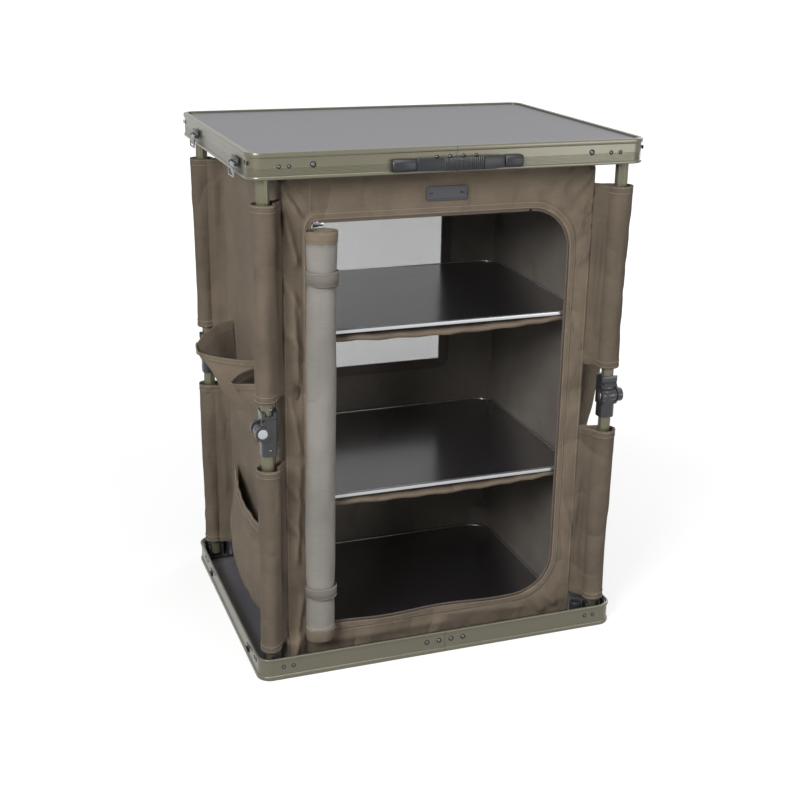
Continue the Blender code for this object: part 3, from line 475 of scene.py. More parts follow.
TREES = {
    "rivet": scatter_tree("rivet_heads", dome_form, "rivet", {"Radius": 0.0028}),
    # Dark discs under the rivet heads: painted shade round each head.
    "painted_rim_shade": scatter_tree("rivet_painted_shade_discs", shade_disc_form, "bore", {"Radius": 0.0034}),
    "stitch": scatter_tree("stitches", stitch_form, "thread",
                           {"Length": 0.0012, "Width": 0.00040}),
    "tooth": scatter_tree("zip_teeth", tooth_form, "teeth",
                          {"Length": 0.0010, "Width": 0.0024, "Height": 0.0012}),
}


def scattered(name, kind, spots, body, slot, radius=0, fold=None):
    """spots are (place, facing, along); the result is one plain mesh on one body."""
    mesh = bpy.data.meshes.new(name)
    mesh.from_pydata([s[0] for s in spots], [], [])
    for label, index in (("face", 1), ("along", 2)):
        layer = mesh.attributes.new(label, "FLOAT_VECTOR", "POINT")
        for item, spot in zip(layer.data, spots):
            item.vector = spot[index]
    holder = placed(name, mesh)
    change = holder.modifiers.new("scatter", "NODES")
    change.node_group = TREES[kind]
    for item in TREES[kind].interface.items_tree:
        if radius and item.name == "Radius":
            change[item.identifier] = radius
    graph = bpy.context.evaluated_depsgraph_get()
    done = bpy.data.meshes.new_from_object(holder.evaluated_get(graph))
    bpy.data.objects.remove(holder, do_unlink=True)
    put(name, done, body, slot, "", fold=fold)


def spaced(points, step, closed=False):
    """Walks along a line of points and gives (place, direction) at even steps."""
    line = [Vector(p) for p in points]
    if closed:
        line.append(line[0])
    out = []
    left = step / 2
    for a, b in zip(line, line[1:]):
        span = (b - a).length
        if span < 1e-9:
            continue
        while left <= span:
            out.append((a.lerp(b, left / span), (b - a).normalized()))
            left += step
        left -= span
    return out


STITCHES = []
HEM_STITCHES = {-1: [], 1: []}


def sew(points, facing, closed=False, step=0.0032, into=STITCHES):
    """Notes a row of stitches; facing is a fixed direction or a function of the place."""
    for place, along in spaced(points, step, closed):
        out = facing(place) if callable(facing) else facing
        into.append((place + Vector(out) * 0.0001, out, along))


# Trays: rails, rivets, and the seam where each rail's ends meet
RAIL_FOOT = metres((
    (7, 0), (1.4, 0), (0.4, 0.4), (0, 1.3), (0, 5.8), (0.5, 6.8), (1.8, 7.4)))
RAIL_LIP = metres((
    (1.8, 31.6), (0.6, 32), (0, 32.8), (0, 35.3), (0.4, 36.1), (1.2, 36.5), (3, 36.5),
    (3.4, 36), (3.4, 8.8), (7.5, 8.8), (7.5, 7.2), (3.6, 7.2), (3.6, 2.4), (7, 2.4)))


def rail_section(body):
    """Inset and height round the rail's section; the top rail is ribbed and upside down."""
    if body == "base":
        return RAIL_FOOT + RAIL_LIP
    ribs = [[inset, 0.0200 + 0.0019 * k + rise] for k in range(6) for inset, rise in
            ((0.0018, 0), (0.0013, 0.0004), (0.0013, 0.0008), (0.0018, 0.0012))]
    return [(inset, HEIGHT - rise) for inset, rise in RAIL_FOOT + ribs + RAIL_LIP]


def tray_rail(body):
    rings = []
    for sx, sy, start in ((1, 1, 0), (-1, 1, 90), (-1, -1, 180), (1, -1, 270)):
        cx, cy = sx * (WIDTH / 2 - RAIL_CORNER), sy * (DEPTH / 2 - RAIL_CORNER)
        for step in range(13):
            angle = math.radians(start + 7.5 * step)
            rings.append([(cx + (RAIL_CORNER - inset) * math.cos(angle),
                           cy + (RAIL_CORNER - inset) * math.sin(angle), z)
                          for inset, z in rail_section(body)])
    rings.append(rings[0])
    solid(body + "_rail", rings, body, "rail_paint", "rail", sharp=40, node=body + "_frame")


def rivets(name, body, head, along_x, along_y=()):
    """Bright heads on dark discs of painted shade: rows of (height, places) on front and rear,
    then on sides.
    """
    spots = [((x, side * (DEPTH / 2 - RIVET_INSET), z), (0, side, 0), UPRIGHT)
             for side in (-1, 1) for z, places in along_x for x in places]
    spots += [((side * (WIDTH / 2 - RIVET_INSET), y, z), (side, 0, 0), UPRIGHT)
              for side in (-1, 1) for z, places in along_y for y in places]
    scattered(name + "_rings", "painted_rim_shade", spots, body, "dark_moulding", head * 1.6)
    scattered(name + "_heads", "rivet", spots, body, "pin_steel", head)


def rail_seam(body, x, side, place):
    """A hairline seam that follows the rail's outer face."""
    rows = []
    for inset, z in rail_section(body)[1:-8]:
        out, inner = DEPTH / 2 - inset + 0.00012, DEPTH / 2 - inset - 0.0004
        rows.append([(x + across, side * reach, z) for across, reach in
                     ((-0.0003, out), (0.0003, out), (0.0003, inner), (-0.0003, inner))])
    solid(f"{body}_rail_seam_{place}", rows, body, "rail_paint", "bore", caps=True, smooth=False)


def relaid(nodes, finish):
    """Gives CAD boards a finish."""
    for node in nodes:
        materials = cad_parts[node].data.materials
        materials.clear()
        materials.append(FINISHES[finish])


tray_rail("base")
tray_rail("top")
relaid(("base_board", "top_board"), "laminate")
rivets("top_rivets", "top", 0.0019,
       ((0.7811, (-0.257, -0.243, 0.241, 0.256)), (0.7853, (-0.031, -0.0115, 0.0086, 0.028))),
       ((0.7855, (-0.2047815, -0.2167, 0.2047815, 0.2167)),))
rivets("top_large_rivets", "top", 0.0027, ((0.7824, (-0.2095, 0.2095)),))
rivets("base_rivets", "base", 0.0020, ((0.0212, (-0.262, -0.2464, 0.2494, 0.2642)),),
       ((0.0245, (-0.191, -0.2005, 0.173, 0.156)),))
rivets("base_large_rivets", "base", 0.0026, ((0.0212, (-0.0286, -0.008, 0.0124, 0.0328)),))
for side, place in ((-1, "front"), (1, "rear")):
    rail_seam("top", -0.0015, side, place)
    rail_seam("base", 0.0019, side, place)


# Legs: fluted tubes, knuckles, screws
def fluted_tube(half, corner, low, high):
    x, y, turn = LEGS[corner]
    ring = []
    for i in range(96):
        angle = 2 * math.pi * i / 96
        flute = 0.5 + 0.5 * math.cos(12 * angle)
        reach = TUBE_RADIUS - 0.00045 * (1 - flute ** 0.4)
        ring.append((x + reach * math.cos(angle + turn), y + reach * math.sin(angle + turn)))
    bore = [(x + (px - x) * 0.84, y + (py - y) * 0.84) for px, py in ring]
    rows = [[(px, py, z) for px, py in ring] for z in (low, low + 0.0006, high - 0.0006, high)]
    rows += [[(px, py, z) for px, py in bore] for z in (high, high - 0.012, low + 0.012, low)]
    rows.append(rows[0])
    solid(f"{half}_leg_tube_{corner}", rows, f"{half}_leg_{corner}", "tube_paint", "tube",
          sharp=50, node=f"{half}_tube_{corner}")


def leg_screw(half, corner, place, radius):
    """A screw's head, at a place in the leg's own frame."""
    out = in_leg_frame(corner, 0, 1, 0) - in_leg_frame(corner, 0, 0, 0)
    spots = [(in_leg_frame(corner, *place), out, UPRIGHT)]
    scattered(f"{half}_screw_{corner}", "rivet", spots, f"{half}_leg_{corner}", "pin_steel",
              radius)


for corner in LEGS:
    fluted_tube("lower", corner, 0.017, 0.386)
    fluted_tube("upper", corner, 0.4128, 0.783)
    lower, upper = "lower_leg_" + corner, "upper_leg_" + corner
    softened("knuckle_fork_" + corner, lower, "dark_moulding", "slate", 0.0007, 3)
    softened("knuckle_tongue_" + corner, upper, "dark_moulding", "slate", 0.0006, 2)
    softened("knuckle_pin_" + corner, lower, "pin_steel", "steel", 0.0005, 2)
    softened("release_button_" + corner, "button_" + corner, "button_grey", "button", 0.0004, 3)
    softened("foot_bracket_" + corner, "base", "dark_moulding", "slate", 0.0006, 2)
    softened("top_bracket_" + corner, "top", "dark_moulding", "slate", 0.0006, 2)
    leg_screw("upper", corner, (-0.0028, 0.0092, 0.4325), 0.0029)
    leg_screw("lower", corner, (-0.0015, 0.0113, 0.371), 0.0025)


# Outlines used by the front panel and the rear window
def hole_outline(left, right, low, high, left_corner, right_corner, grow=0.0):
    """Walks round an upright rounded rectangle, with the same count of points each time."""
    left, right, low, high = left - grow, right + grow, low - grow, high + grow
    ra, rb = left_corner + grow, right_corner + grow
    across = right - left - ra - rb
    points = [(left, high - ra - (high - low - 2 * ra) * i / 110) for i in range(110)]
    points += arc(left + ra, low + ra, ra, 180, 270, 6)[:-1]
    points += [(left + ra + across * i / 80, low) for i in range(80)]
    points += arc(right - rb, low + rb, rb, 270, 360, 14)[:-1]
    points += [(right, low + rb + (high - low - 2 * rb) * i / 110) for i in range(110)]
    points += arc(right - rb, high - rb, rb, 0, 90, 14)[:-1]
    points += [(right - rb - across * i / 80, high) for i in range(80)]
    return points + arc(left + ra, high - ra, ra, 90, 180, 6)[:-1]


# Lines along which the front cloth is creased: x and z of both ends, half width, rise
FRONT_FOLDS = metres((
    (-237, 733, -210, 695, 6, 4.8), (-240, 706, -222, 639, 6, 4), (-229, 584, -221, 463, 6, 3.4),
    (-220, 322, -228, 175, 6, 3.2), (-218, 104, -233, 20, 5.5, 3.4), (-143, 736, -23, 741, 9, 1.6),
    (119, 739, 185, 718, 8, 2.2), (180, 693, 192, 714, 4, 3), (197, 661, 237, 691, 5.5, 3.6),
    (202, 650, 237, 667, 4.5, 3), (212, 610, 235, 617, 4.5, 2.4), (212, 500, 234, 476, 6, 2.4),
    (198, 700, 236, 744, 4.5, 3.2), (180, 716, 210, 752, 4.5, 2.8), (208, 680, 239, 714, 4.5, 2.8),
    (-238, 604, -213, 566, 5, 2.6), (-238, 535, -214, 505, 5, 2.4), (-238, 300, -214, 262, 5, 2.6),
    (-237, 236, -214, 205, 5, 2.2), (-238, 762, -206, 716, 5, 3.2), (-234, 430, -219, 352, 5, 2.8),
    (219, 214, 240, 157, 6, 2.2), (189, 57, 214, 29, 5.5, 4.2), (169, 55, 191, 21, 6, 3.6),
    (11, 43, 154, 31, 6.5, 1.4), (-158, 26, 12, 27, 7.5, 1.4), (-150, 44, -60, 40, 6, 1),
))
# Share of its swell that the front cloth keeps beside the opening
BESIDE_DOOR = 0.45


def front_swell(x, z):
    """How far the front cloth stands out from its flat plane."""
    out = 0.0010 * drift(x, 0, z, 0.070, 3.1) + 0.0005 * drift(x, 0, z, 0.021, 8.2)
    edge = max(0.0, 1 - abs(abs(x) - 0.224) / 0.030)
    out += 0.0014 * edge * math.sin(z * 52 + 2.2 * math.sin(z * 17) + 9 * x)
    for ax, az, bx, bz, width, rise in FRONT_FOLDS:
        dx, dz = bx - ax, bz - az
        share = clamp(((x - ax) * dx + (z - az) * dz) / (dx * dx + dz * dz))
        off = math.hypot(x - ax - share * dx, z - az - share * dz) / width
        if off < 3:
            out += 1.5 * rise * math.exp(-off * off)
    return out + 0.0010 * clamp((z - 0.700) / 0.060) * math.sin(x * 61 + 1.3 * math.sin(x * 23))


def round_post(offset, z):
    """How far cloth at a corner stands out round the hollow post of the bracket in it."""
    across = 1 - (offset / 0.026) ** 2
    if across <= 0:
        return 0.0
    return smooth_step((0.052 - z) / 0.012) * POST_RADIUS * math.sqrt(across)


def sill_wave(x, z):
    """How far the opening's lower edge wanders up and down."""
    return 0.0024 * math.sin(33 * x + 1.2) * max(0.0, 1 - abs(z - 0.052) / 0.016)


def on_front(line, lift, share=1.0, wave=0):
    """Lays a line of x and z on the front cloth, standing a little above it."""
    return [(x, -BODY_Y - lift - share * front_swell(x, z), z + wave * sill_wave(x, z))
            for x, z in line]


def front_panel():
    binding = metres(((0, 1.2), (1, 1.8), (3, 1.9), (7, 1.9), (11, 1.7), (12.2, 0.2)))
    rows = [on_front(hole_outline(*DOOR, grow), lift, BESIDE_DOOR, 1) for grow, lift in binding]
    inner = hole_outline(*DOOR, binding[-1][0])
    outer = hole_outline(-FRONT_HALF, FRONT_HALF, BODY_LOW, BODY_HIGH, 0.0008, 0.0008)
    steps = 16
    for k in range(1, steps + 1):
        share = k / steps
        row = []
        for (ax, az), (bx, bz) in zip(inner, outer):
            x, z = ax + (bx - ax) * share, az + (bz - az) * share
            swell = front_swell(x, z) * (BESIDE_DOOR + (1 - BESIDE_DOOR) * min(1.0, share * 3))
            if share > 0.92:
                swell *= 0.35 + 0.65 * (1 - share) / 0.08
            limit = FRONT_HALF - 0.0163 * smooth_step((z - 0.752) / 0.008)
            x = max(-limit, min(limit, x))
            swell += round_post(x + POST_X, z) + (0.0010 if z > 0.05 else 0.0016)
            row.append((x, -BODY_Y - swell, z))
        rows.append(row)
    mesh = net_of(rows, wrap=True, score=lambda f: -f.normal.y * f.calc_area())
    cloth("front_panel", mesh, (0.79, 0.49), node="cabinet_fabric", thick=0.0008)
    for grow in (0.0024, 0.0098):
        line = on_front(hole_outline(*DOOR, grow), 0.0019, BESIDE_DOOR, 1)
        sew(line, FRONTWARD, closed=True)
    line = [(-0.2013, 0.706 + 0.052 * i / 20) for i in range(21)]
    sew(on_front(line, 0.0011), FRONTWARD)
    for x in (-0.2395, 0.2395):
        line = [(x, 0.060 + 0.690 * i / 160) for i in range(161)]
        sew(on_front(line, 0.0011, 0.60), FRONTWARD)


front_panel()


# Side and rear walls, one band of cloth
def wall_swell(x, y, z, nx, ny):
    out = 0.0012 * drift(x, y, z, 0.080, 1.7) + 0.0006 * drift(x, y, z, 0.025, 5.5)
    if abs(nx) > 0.7:
        out += 0.0016 * math.sin(24 * y + 13 * z) + 0.0010
        out += 0.0005 * math.sin(71 * y + 34 * z + 3.5 * drift(x, y, z, 0.12, 4.0))
        out += 0.0030 * math.exp(-((y * 0.55 + 0.520 - z) / 0.012) ** 2)
        out *= min(1.0, (BODY_Y - abs(y)) / 0.02)
    elif ny > 0.7:
        out += 0.0010 * math.sin(26 * x + 7 * z) * (1 if abs(x) > 0.16 or z < 0.33 else 0.25)
    return out * (1 - smooth_step((z - 0.748) / 0.012)) * min(1.0, (z - BODY_LOW) / 0.03)


def wall_path(z):
    """The walls' line at one height, from the front's left end round to its right end."""
    drawn = smooth_step((z - 0.752) / 0.010)
    radius = 0.005 + 0.035 * drawn
    cx, cy = BODY_X - radius, BODY_Y - radius
    last = 0.005 + 0.035 * max(drawn, smooth_step((0.058 - z) / 0.012))
    rx, ry = BODY_X - last, BODY_Y - last
    path = [(-0.214, -BODY_Y, 0, -1)]

    def corner(sx, sy, start, wraps=False, radius=radius, cx=cx, cy=cy):
        for i, (px, py) in enumerate(arc(sx * cx, sy * cy, radius, start, start - 90, 8)):
            away = Vector((px - sx * cx, py - sy * cy)) / radius
            if wraps:
                turn = math.radians(start - 90 * i / 8)
                share = round_post(0, z) / POST_RADIUS
                px += (sx * POST_X + POST_RADIUS * math.cos(turn) - px) * share
                py += (sy * POST_Y + POST_RADIUS * math.sin(turn) - py) * share
            path.append((px, py, away.x, away.y))

    corner(-1, -1, 270, True)
    for i in range(1, 36):
        y = -cy + 2 * cy * i / 36
        path.append((min(-BODY_X, -POST_X - round_post(y + POST_Y, z)), y, -1, 0))
    corner(-1, 1, 180)
    rear = [-0.225 + 0.08 * i / 10 for i in range(1, 10)]
    rear += [-WINDOW_HALF + 2 * WINDOW_HALF * i / 34 for i in range(35)]
    rear += [WINDOW_HALF + 0.08 * i / 10 for i in range(1, 10)]
    for x in rear:
        past = abs(x) - WINDOW_HALF
        if past > 0:
            reach = rx if x > 0 else cx
            x = math.copysign(WINDOW_HALF + past * (reach - WINDOW_HALF) / 0.08, x)
        path.append((x, BODY_Y, 0, 1))
    corner(1, 1, 90, False, last, rx, ry)
    path += [(BODY_X, ry - (ry + cy) * i / 36, 1, 0) for i in range(1, 36)]
    corner(1, -1, 0)
    path.append((0.214, -BODY_Y, 0, -1))
    return path


def wall_band():
    levels = [BODY_LOW, 0.016, 0.026, 0.034, 0.040, 0.043, 0.046, 0.049, 0.052]
    levels += [0.052 + (WINDOW_LOW - 0.052) * i / 40 for i in range(1, 41)]
    levels += [WINDOW_LOW + (WINDOW_HIGH - WINDOW_LOW) * i / 44 for i in range(1, 45)]
    levels += [0.712, 0.724, 0.736, 0.748, 0.753, 0.758, 0.762, 0.772, BODY_HIGH]
    rows = []
    for z in levels:
        row = []
        for x, y, nx, ny in wall_path(z):
            swell = wall_swell(x, y, z, nx, ny)
            row.append((x + nx * swell, y + ny * swell, z))
        rows.append(row)
    columns = wall_path(0.4)

    def open_here(i, j):
        middle = (columns[j][0] + columns[j + 1][0]) / 2
        height = (levels[i] + levels[i + 1]) / 2
        return (columns[j][1] >= BODY_Y - 0.0005 and abs(middle) < WINDOW_HALF
                and WINDOW_LOW < height < WINDOW_HIGH)

    mesh = net_of(rows, skip=open_here, score=lambda f: f.normal.x * f.calc_center_median().x)
    cloth("walls", mesh, (1.25, 0.79))


wall_band()


# Rear window: net and its sewn frame
def window_parts():
    rows = []
    for i in range(25):
        z = 0.343 + 0.364 * i / 24
        row = []
        for k in range(21):
            x = -0.152 + 0.304 * k / 20
            bow = 0.0016 * math.cos(math.pi * x / 0.32) * math.sin(math.pi * i / 24)
            row.append((x, BODY_Y + 0.0006 + bow + 0.0002 * drift(x, 0, z, 0.09, 2), z))
        rows.append(row)
    cloth("window_net", net_of(rows), (0.304, 0.364), finishes="net", slot="mesh_net",
          thick=0, node="rear_mesh")
    # The inner binding takes the darker coating, which is painted shade of the rear inside.
    for name, finish, section in (
            ("window_binding", "khaki_dark", ((-3, 1.6), (-3.2, 3), (0, 3.4), (12, 3.4),
                                              (14.5, 2.8), (14.5, 1.6))),
            ("window_binding_inside", "shade", ((-3, -2), (12, -2.8), (14.5, -1.6)))):
        rings = [[(x, BODY_Y + lift, z) for x, z in hole_outline(*WINDOW, grow)]
                 for grow, lift in metres(section)]
        solid(name, rings, "base", "khaki_cloth", finish, fold=FOLD)
    for grow in (0.0015, 0.0118):
        line = [(x, BODY_Y + 0.0035, z) for x, z in hole_outline(*WINDOW, grow)]
        sew(line, BACKWARD, closed=True)


window_parts()


# Leg sleeves with the web that joins them to the cabinet's corners
SLEEVE_SEEDS = {"front_left": 1.0, "front_right": 4.0, "rear_right": 7.0, "rear_left": 10.0}


def sleeve(name, corner, low, high, hem=0.0125):
    lx, ly, _ = LEGS[corner]
    sx, sy = math.copysign(1, lx), math.copysign(1, ly)
    seed = SLEEVE_SEEDS[corner] + low * 3
    reach = math.hypot(LEG_X - BODY_X, LEG_Y - BODY_Y) + 0.0045
    toward = Vector((-sx * (LEG_X - BODY_X), -sy * (LEG_Y - BODY_Y))).normalized()
    aside = Vector((-toward.y, toward.x))
    hollow = math.copysign(0.0085 if corner == "front_left" else 0.0025, -aside.y * sy)
    levels = [low, low + 0.004, low + 0.008, low + hem - 0.0004, low + hem + 0.0006]
    levels += [low + hem + (high - low - 2 * hem) * i / 56 for i in range(1, 56)]
    levels += [high - hem - 0.0006, high - hem + 0.0004, high - 0.008, high - 0.004, high]
    rows = []
    for z in levels:
        from_end = min(z - low, high - z)
        band = 0.0003 if from_end < hem else 0.0
        free = smooth_step(from_end / 0.05)
        sway = 0.0010 * drift(0, 0, z, 0.12, seed)
        ring = []
        for k in range(41):
            angle = math.radians(28 + 304 * k / 40)
            loose = 0.0140 + 0.0015 * (1 + math.sin(2 * angle + 1.2 * math.sin(11 * z + seed)))
            loose += 0.0006 * math.sin(3 * angle + 14 * z + seed) + band
            loose += 0.0010 * drift(math.cos(angle), math.sin(angle), z * 9, 0.9, seed)
            slant = z * 95 + 1.6 * angle + 2.0 * math.sin(z * 23 + seed)
            loose += 0.0022 * free * max(0.0, math.sin(slant)) * drift(0, 0, z, 0.08, seed + 2)
            ring.append((loose * math.cos(angle) + sway, loose * math.sin(angle)))
        webs = []
        for (tail_a, tail_b), edge in ((ring[0], 1), (ring[-1], -1)):
            web = []
            for k in range(1, 13):
                share = k / 12
                ripple = math.sin(share * math.pi)
                wave = 0.0052 * ripple * free * drift(share * 2.2, 0, z * 16, 1.0, seed)
                wave += 0.0022 * ripple * math.sin(26 * z + 5 * share + seed)
                wave += hollow * free * math.exp(-((share - 0.45) / 0.20) ** 2)
                web.append((tail_a + (reach - tail_a) * share,
                            tail_b * (1 - share) ** 1.5 + edge * (0.0009 + band) + wave))
            webs.append(web)
        spots = [Vector((lx, ly)) + toward * a + aside * b
                 for a, b in webs[0][::-1] + ring + webs[1]]
        rows.append([(spot.x, spot.y, z) for spot in spots])

    def outward(spot):
        away = Vector((spot[0] - lx, spot[1] - ly, 0))
        return away.normalized() if away.length > 1e-6 else Vector(FRONTWARD)

    mesh = net_of(rows, score=lambda f: f.normal.dot(outward(f.calc_center_median())))
    # The sleeve's outer face takes the darker sleeve cloth, which is painted shade.
    cloth(name, mesh, (high - low, 0.165), finishes="sleeve khaki_dark", thick=0.0012,
          inward=False)
    for row, offsets in ((rows[0], (0.0025, 0.0105)), (rows[-1], (-0.0025, -0.0105))):
        for offset in offsets:
            line = [Vector(p) + outward(p) * 0.0013 + Vector((0, 0, offset)) for p in row[2:-2]]
            sew(line, outward)


for corner in LEGS:
    sleeve("upper_sleeve_" + corner, corner, 0.444, 0.728)
    sleeve("lower_sleeve_" + corner, corner, 0.043, 0.340)


# Rolled door with its ties: height and half width of each tie
TIES = ((0.1264, 0.0098), (0.6176, 0.0110))


def roll_at(z):
    """Centre and half sizes of the roll at one height."""
    x = -0.1945 + 0.0060 * (z - 0.031) / 0.653
    pinch = 1.0
    for tie, _ in TIES:
        pinch -= 0.035 * math.exp(-((z - tie) / 0.018) ** 2)
    size = pinch * (1 + 0.030 * drift(0, 0, z, 0.09, 6.6) + 0.012 * math.sin(z * 31))
    return x, -BODY_Y - 0.0186, 0.0229 * size, 0.0166 * size


def sew_round(roll, out, z, first, last):
    """A row of stitches across the front of the roll, between two angles."""
    cx, cy, half_x, half_y = roll
    angles = [math.radians(a) for a in range(first, last, 6)]
    sew([(cx + (half_x + out) * math.cos(a), cy + (half_y + out) * math.sin(a), z)
         for a in angles], lambda spot: ((spot.x - cx) * 30, (spot.y - cy) * 40, 0))


def door_roll():
    low, high = 0.0425, 0.6850
    levels = [low, 0.046, 0.052, 0.058, 0.0648, 0.0656]
    levels += [0.0656 + 0.6024 * i / 90 for i in range(1, 90)]
    levels += [0.6680, 0.6688, 0.674, 0.680, high]
    turns, count = 2.6, 156

    def in_hem(z):
        return z < 0.0652 or z > 0.6684

    rows = []
    for z in levels:
        cx, cy, half_x, half_y = roll_at(z)
        thicker = (0.0007 if in_hem(z) else 0.0) - 0.0016 * max(0.0, 1 - (z - low) / 0.010)
        row = []
        for k in range(count + 1):
            back = turns * (1 - k / count)
            angle = math.radians(70) + back * 2 * math.pi
            grow = 1 - 0.10 * back - 0.065 * back * back
            ripple = 1 + 0.014 * math.sin(5 * angle + 23 * z + 3 * drift(0, 0, z, 0.1, 9))
            crease = math.exp(-((math.sin(angle / 2 + 0.6) - 0.4) / 0.10) ** 2)
            ripple += 0.020 * crease * drift(0, angle, z, 0.16, 3.3)
            for tie, side in ((0.1264, -1), (0.6176, -1), (0.1264, 1)):
                tuck = (z - tie - side * 0.0145) / 0.006
                ripple -= 0.016 * math.exp(-tuck * tuck) * (0.5 + 0.5 * math.cos(2 * angle + 1.2))
            x = cx + (half_x * grow * ripple + thicker) * math.cos(angle)
            y = cy + (half_y * grow * ripple + thicker) * math.sin(angle)
            row.append((x, min(y, -BODY_Y - 0.0022), z))
        rows.append(row)
    piece = cloth("rolled_door", net_of(rows), (0.6425, 0.26), thick=0.0011,
                  finishes="lining lining khaki khaki", slot="grey_lining", node="door_roll")
    for face in piece.data.polygons:
        if in_hem(face.center.z):
            face.material_index = 2
    for z in (0.0640, 0.6700):
        sew_round(roll_at(z), 0.0016, z, 196, 345)
    for tie, tall in TIES:
        rings = []
        for dz, swell in ((-tall, 0.0010), (-tall + 0.0004, 0.0019), (0.0, 0.0021),
                          (tall - 0.0004, 0.0019), (tall, 0.0010)):
            cx, cy, half_x, half_y = roll_at(tie + dz)
            half_x, half_y = max(half_x, 0.0224), max(half_y, 0.0163)
            ring = []
            for k in range(64):
                angle = 2 * math.pi * k / 64
                y = min(cy + (half_y + swell) * math.sin(angle), -BODY_Y - 0.0012)
                sag = 0.0012 * math.cos(angle + 0.5) + 0.0006 * math.sin(3 * angle)
                ring.append((cx + (half_x + swell) * math.cos(angle), y, tie + dz - sag))
            rings.append(ring)
        band = solid(f"door_tie_{int(tie * 1000)}", rings, "base", "grey_lining", "tie")
        band.modifiers.new("thickness", "SOLIDIFY").thickness = 0.0008
        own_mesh(band)
        for edge in (-tall + 0.0022, tall - 0.0022):
            sew_round((cx, cy, half_x, half_y), 0.0024, tie + edge, 190, 351)


door_roll()


# Zip round the opening
def zip_strip(name, outline, body, fold=None, node=""):
    """A strip of tape along (x, z, and the way out of the opening), with its teeth."""
    rings = [[(x + nx * offset, -BODY_Y - lift, z + nz * offset) for x, z, nx, nz in outline]
             for offset, lift in metres(((-3.2, 1), (-2.8, 2.1), (1.2, 2.1), (1.6, 1)))]
    put(name, net_of(rings, weld=True), body, "zip_tape_cloth", "tape", node=node, fold=fold)
    teeth = [(x - nx * 0.0020, -BODY_Y - 0.0024, z - nz * 0.0020) for x, z, nx, nz in outline]
    spots = [(place, FRONTWARD, along) for place, along in spaced(teeth, 0.0021)]
    scattered(name + "_teeth", "tooth", spots, body, "zip_tape_cloth", fold=fold)


def zip_parts():
    ring = [(x, z + sill_wave(x, z)) for x, z in hole_outline(*DOOR)]
    line = []
    for i, (x, z) in enumerate(ring):
        ax, az = ring[i - 1]
        bx, bz = ring[(i + 1) % len(ring)]
        along = Vector((bx - ax, bz - az)).normalized()
        line.append((x, z, along.y, -along.x))
    top = [p for p in line if p[1] > 0.6949 and -0.196 < p[0] < 0.1385]
    rest = [p for p in line if not (p[1] > 0.6949 and p[0] < 0.1360)]
    first = next(i for i, p in enumerate(rest) if p[1] < 0.070 and p[0] > -0.195)
    side = [p for p in rest[first:] if p[0] > 0.0 or p[1] < 0.300]
    zip_strip("zip_lower", side, "base", fold=FOLD)
    zip_strip("zip_upper", top[::-1], "zip_edge", node="zip_tape")
    softened("zip_slider", "zip_slider", "bright_wire", "bright", 0.0004, 2)


zip_parts()


# Shelves with their bright front edge, and the cloth slings beneath
TRIM_SECTION = metres(((0.1, -4.2), (0.8, -4), (0.8, 0.6), (-1.6, 0.7), (-1.6, 0.1), (0.1, 0.1)))
EDGING_SECTION = metres(((-175.2, -4.6), (-175.8, -4.4), (-176.1, -2), (-175.8, 0.4), (-175, 0.7),
                         (-170, 0.6), (-170, 0.1), (-175.1, 0.1), (-175.1, -4.1)))
SLING_HEM = metres(((-1, 1.2), (-1.6, -1), (-0.6, -4.6), (0.6, -4.9), (0.4, 1.2)))


def board_trim(name, body, top, corner):
    """The thin bright edge that runs along a board's sides and back."""
    side, back = 0.240 - corner, 0.175 - corner
    trim = [(0.240, -back)] + arc(side, back, corner, 0, 90, 10)
    trim += [(-x, y) for x, y in trim[::-1]]
    rows = []
    for x, y in trim:
        away = Vector((x - math.copysign(min(abs(x), side), x),
                       y - math.copysign(min(abs(y), back), y)))
        away = away.normalized() if away.length > 1e-6 else Vector((0, 1))
        rows.append([(x + away.x * out, y + away.y * out, top + rise)
                     for out, rise in TRIM_SECTION])
    solid(name, rows, body, "shelf_black", "edging", caps=True, smooth=False)


def shelf(level, top):
    body = level + "_shelf"
    rows = [[(x, y, top + rise) for y, rise in EDGING_SECTION]
            for x in (-0.2095, -0.10, 0.0, 0.10, 0.2095)]
    solid(body + "_edging", rows, body, "shelf_black", "edging", caps=True, sharp=40)
    board_trim(body + "_trim", body, top, 0.030)
    rows = []
    for i in range(49):
        x = -0.236 + 0.472 * i / 48
        past = max(0.0, abs(x) - 0.206)
        edge_y = -0.1735 + 0.030 - math.sqrt(max(0.0, 0.030 ** 2 - past ** 2))
        row = []
        for k in range(25):
            near = 1 - k / 24
            y = edge_y + (0.140 - edge_y) * (k / 24)
            sag = 0.0094 * (1 - (x / 0.240) ** 2) * near ** 2
            sag += 0.0010 * (1 + drift(x, y, 0, 0.03, top * 9)) * near
            pleat = math.sin(x * 120 + 3 * drift(x, 0, 0, 0.1, top))
            row.append((x, y, top - 0.0047 - sag - 0.0008 * (1 + pleat) * near ** 3))
        rows.append(row)
    cloth(level + "_sling", net_of(rows), (0.472, 0.318), fold=None, body=body,
          finishes="khaki khaki", node=body + "_sling")
    hem = [[(x, y + dy, z + dz) for dy, dz in SLING_HEM] for x, y, z in (r[0] for r in rows)]
    solid(level + "_sling_hem", hem, body, "khaki_cloth", "khaki", caps=True)


relaid(("floor_board", "lower_shelf_board", "upper_shelf_board"), "shelf")
board_trim("floor_board_trim", "base", 0.0145, 0.040)
shelf("lower", 0.270)
shelf("upper", 0.530)


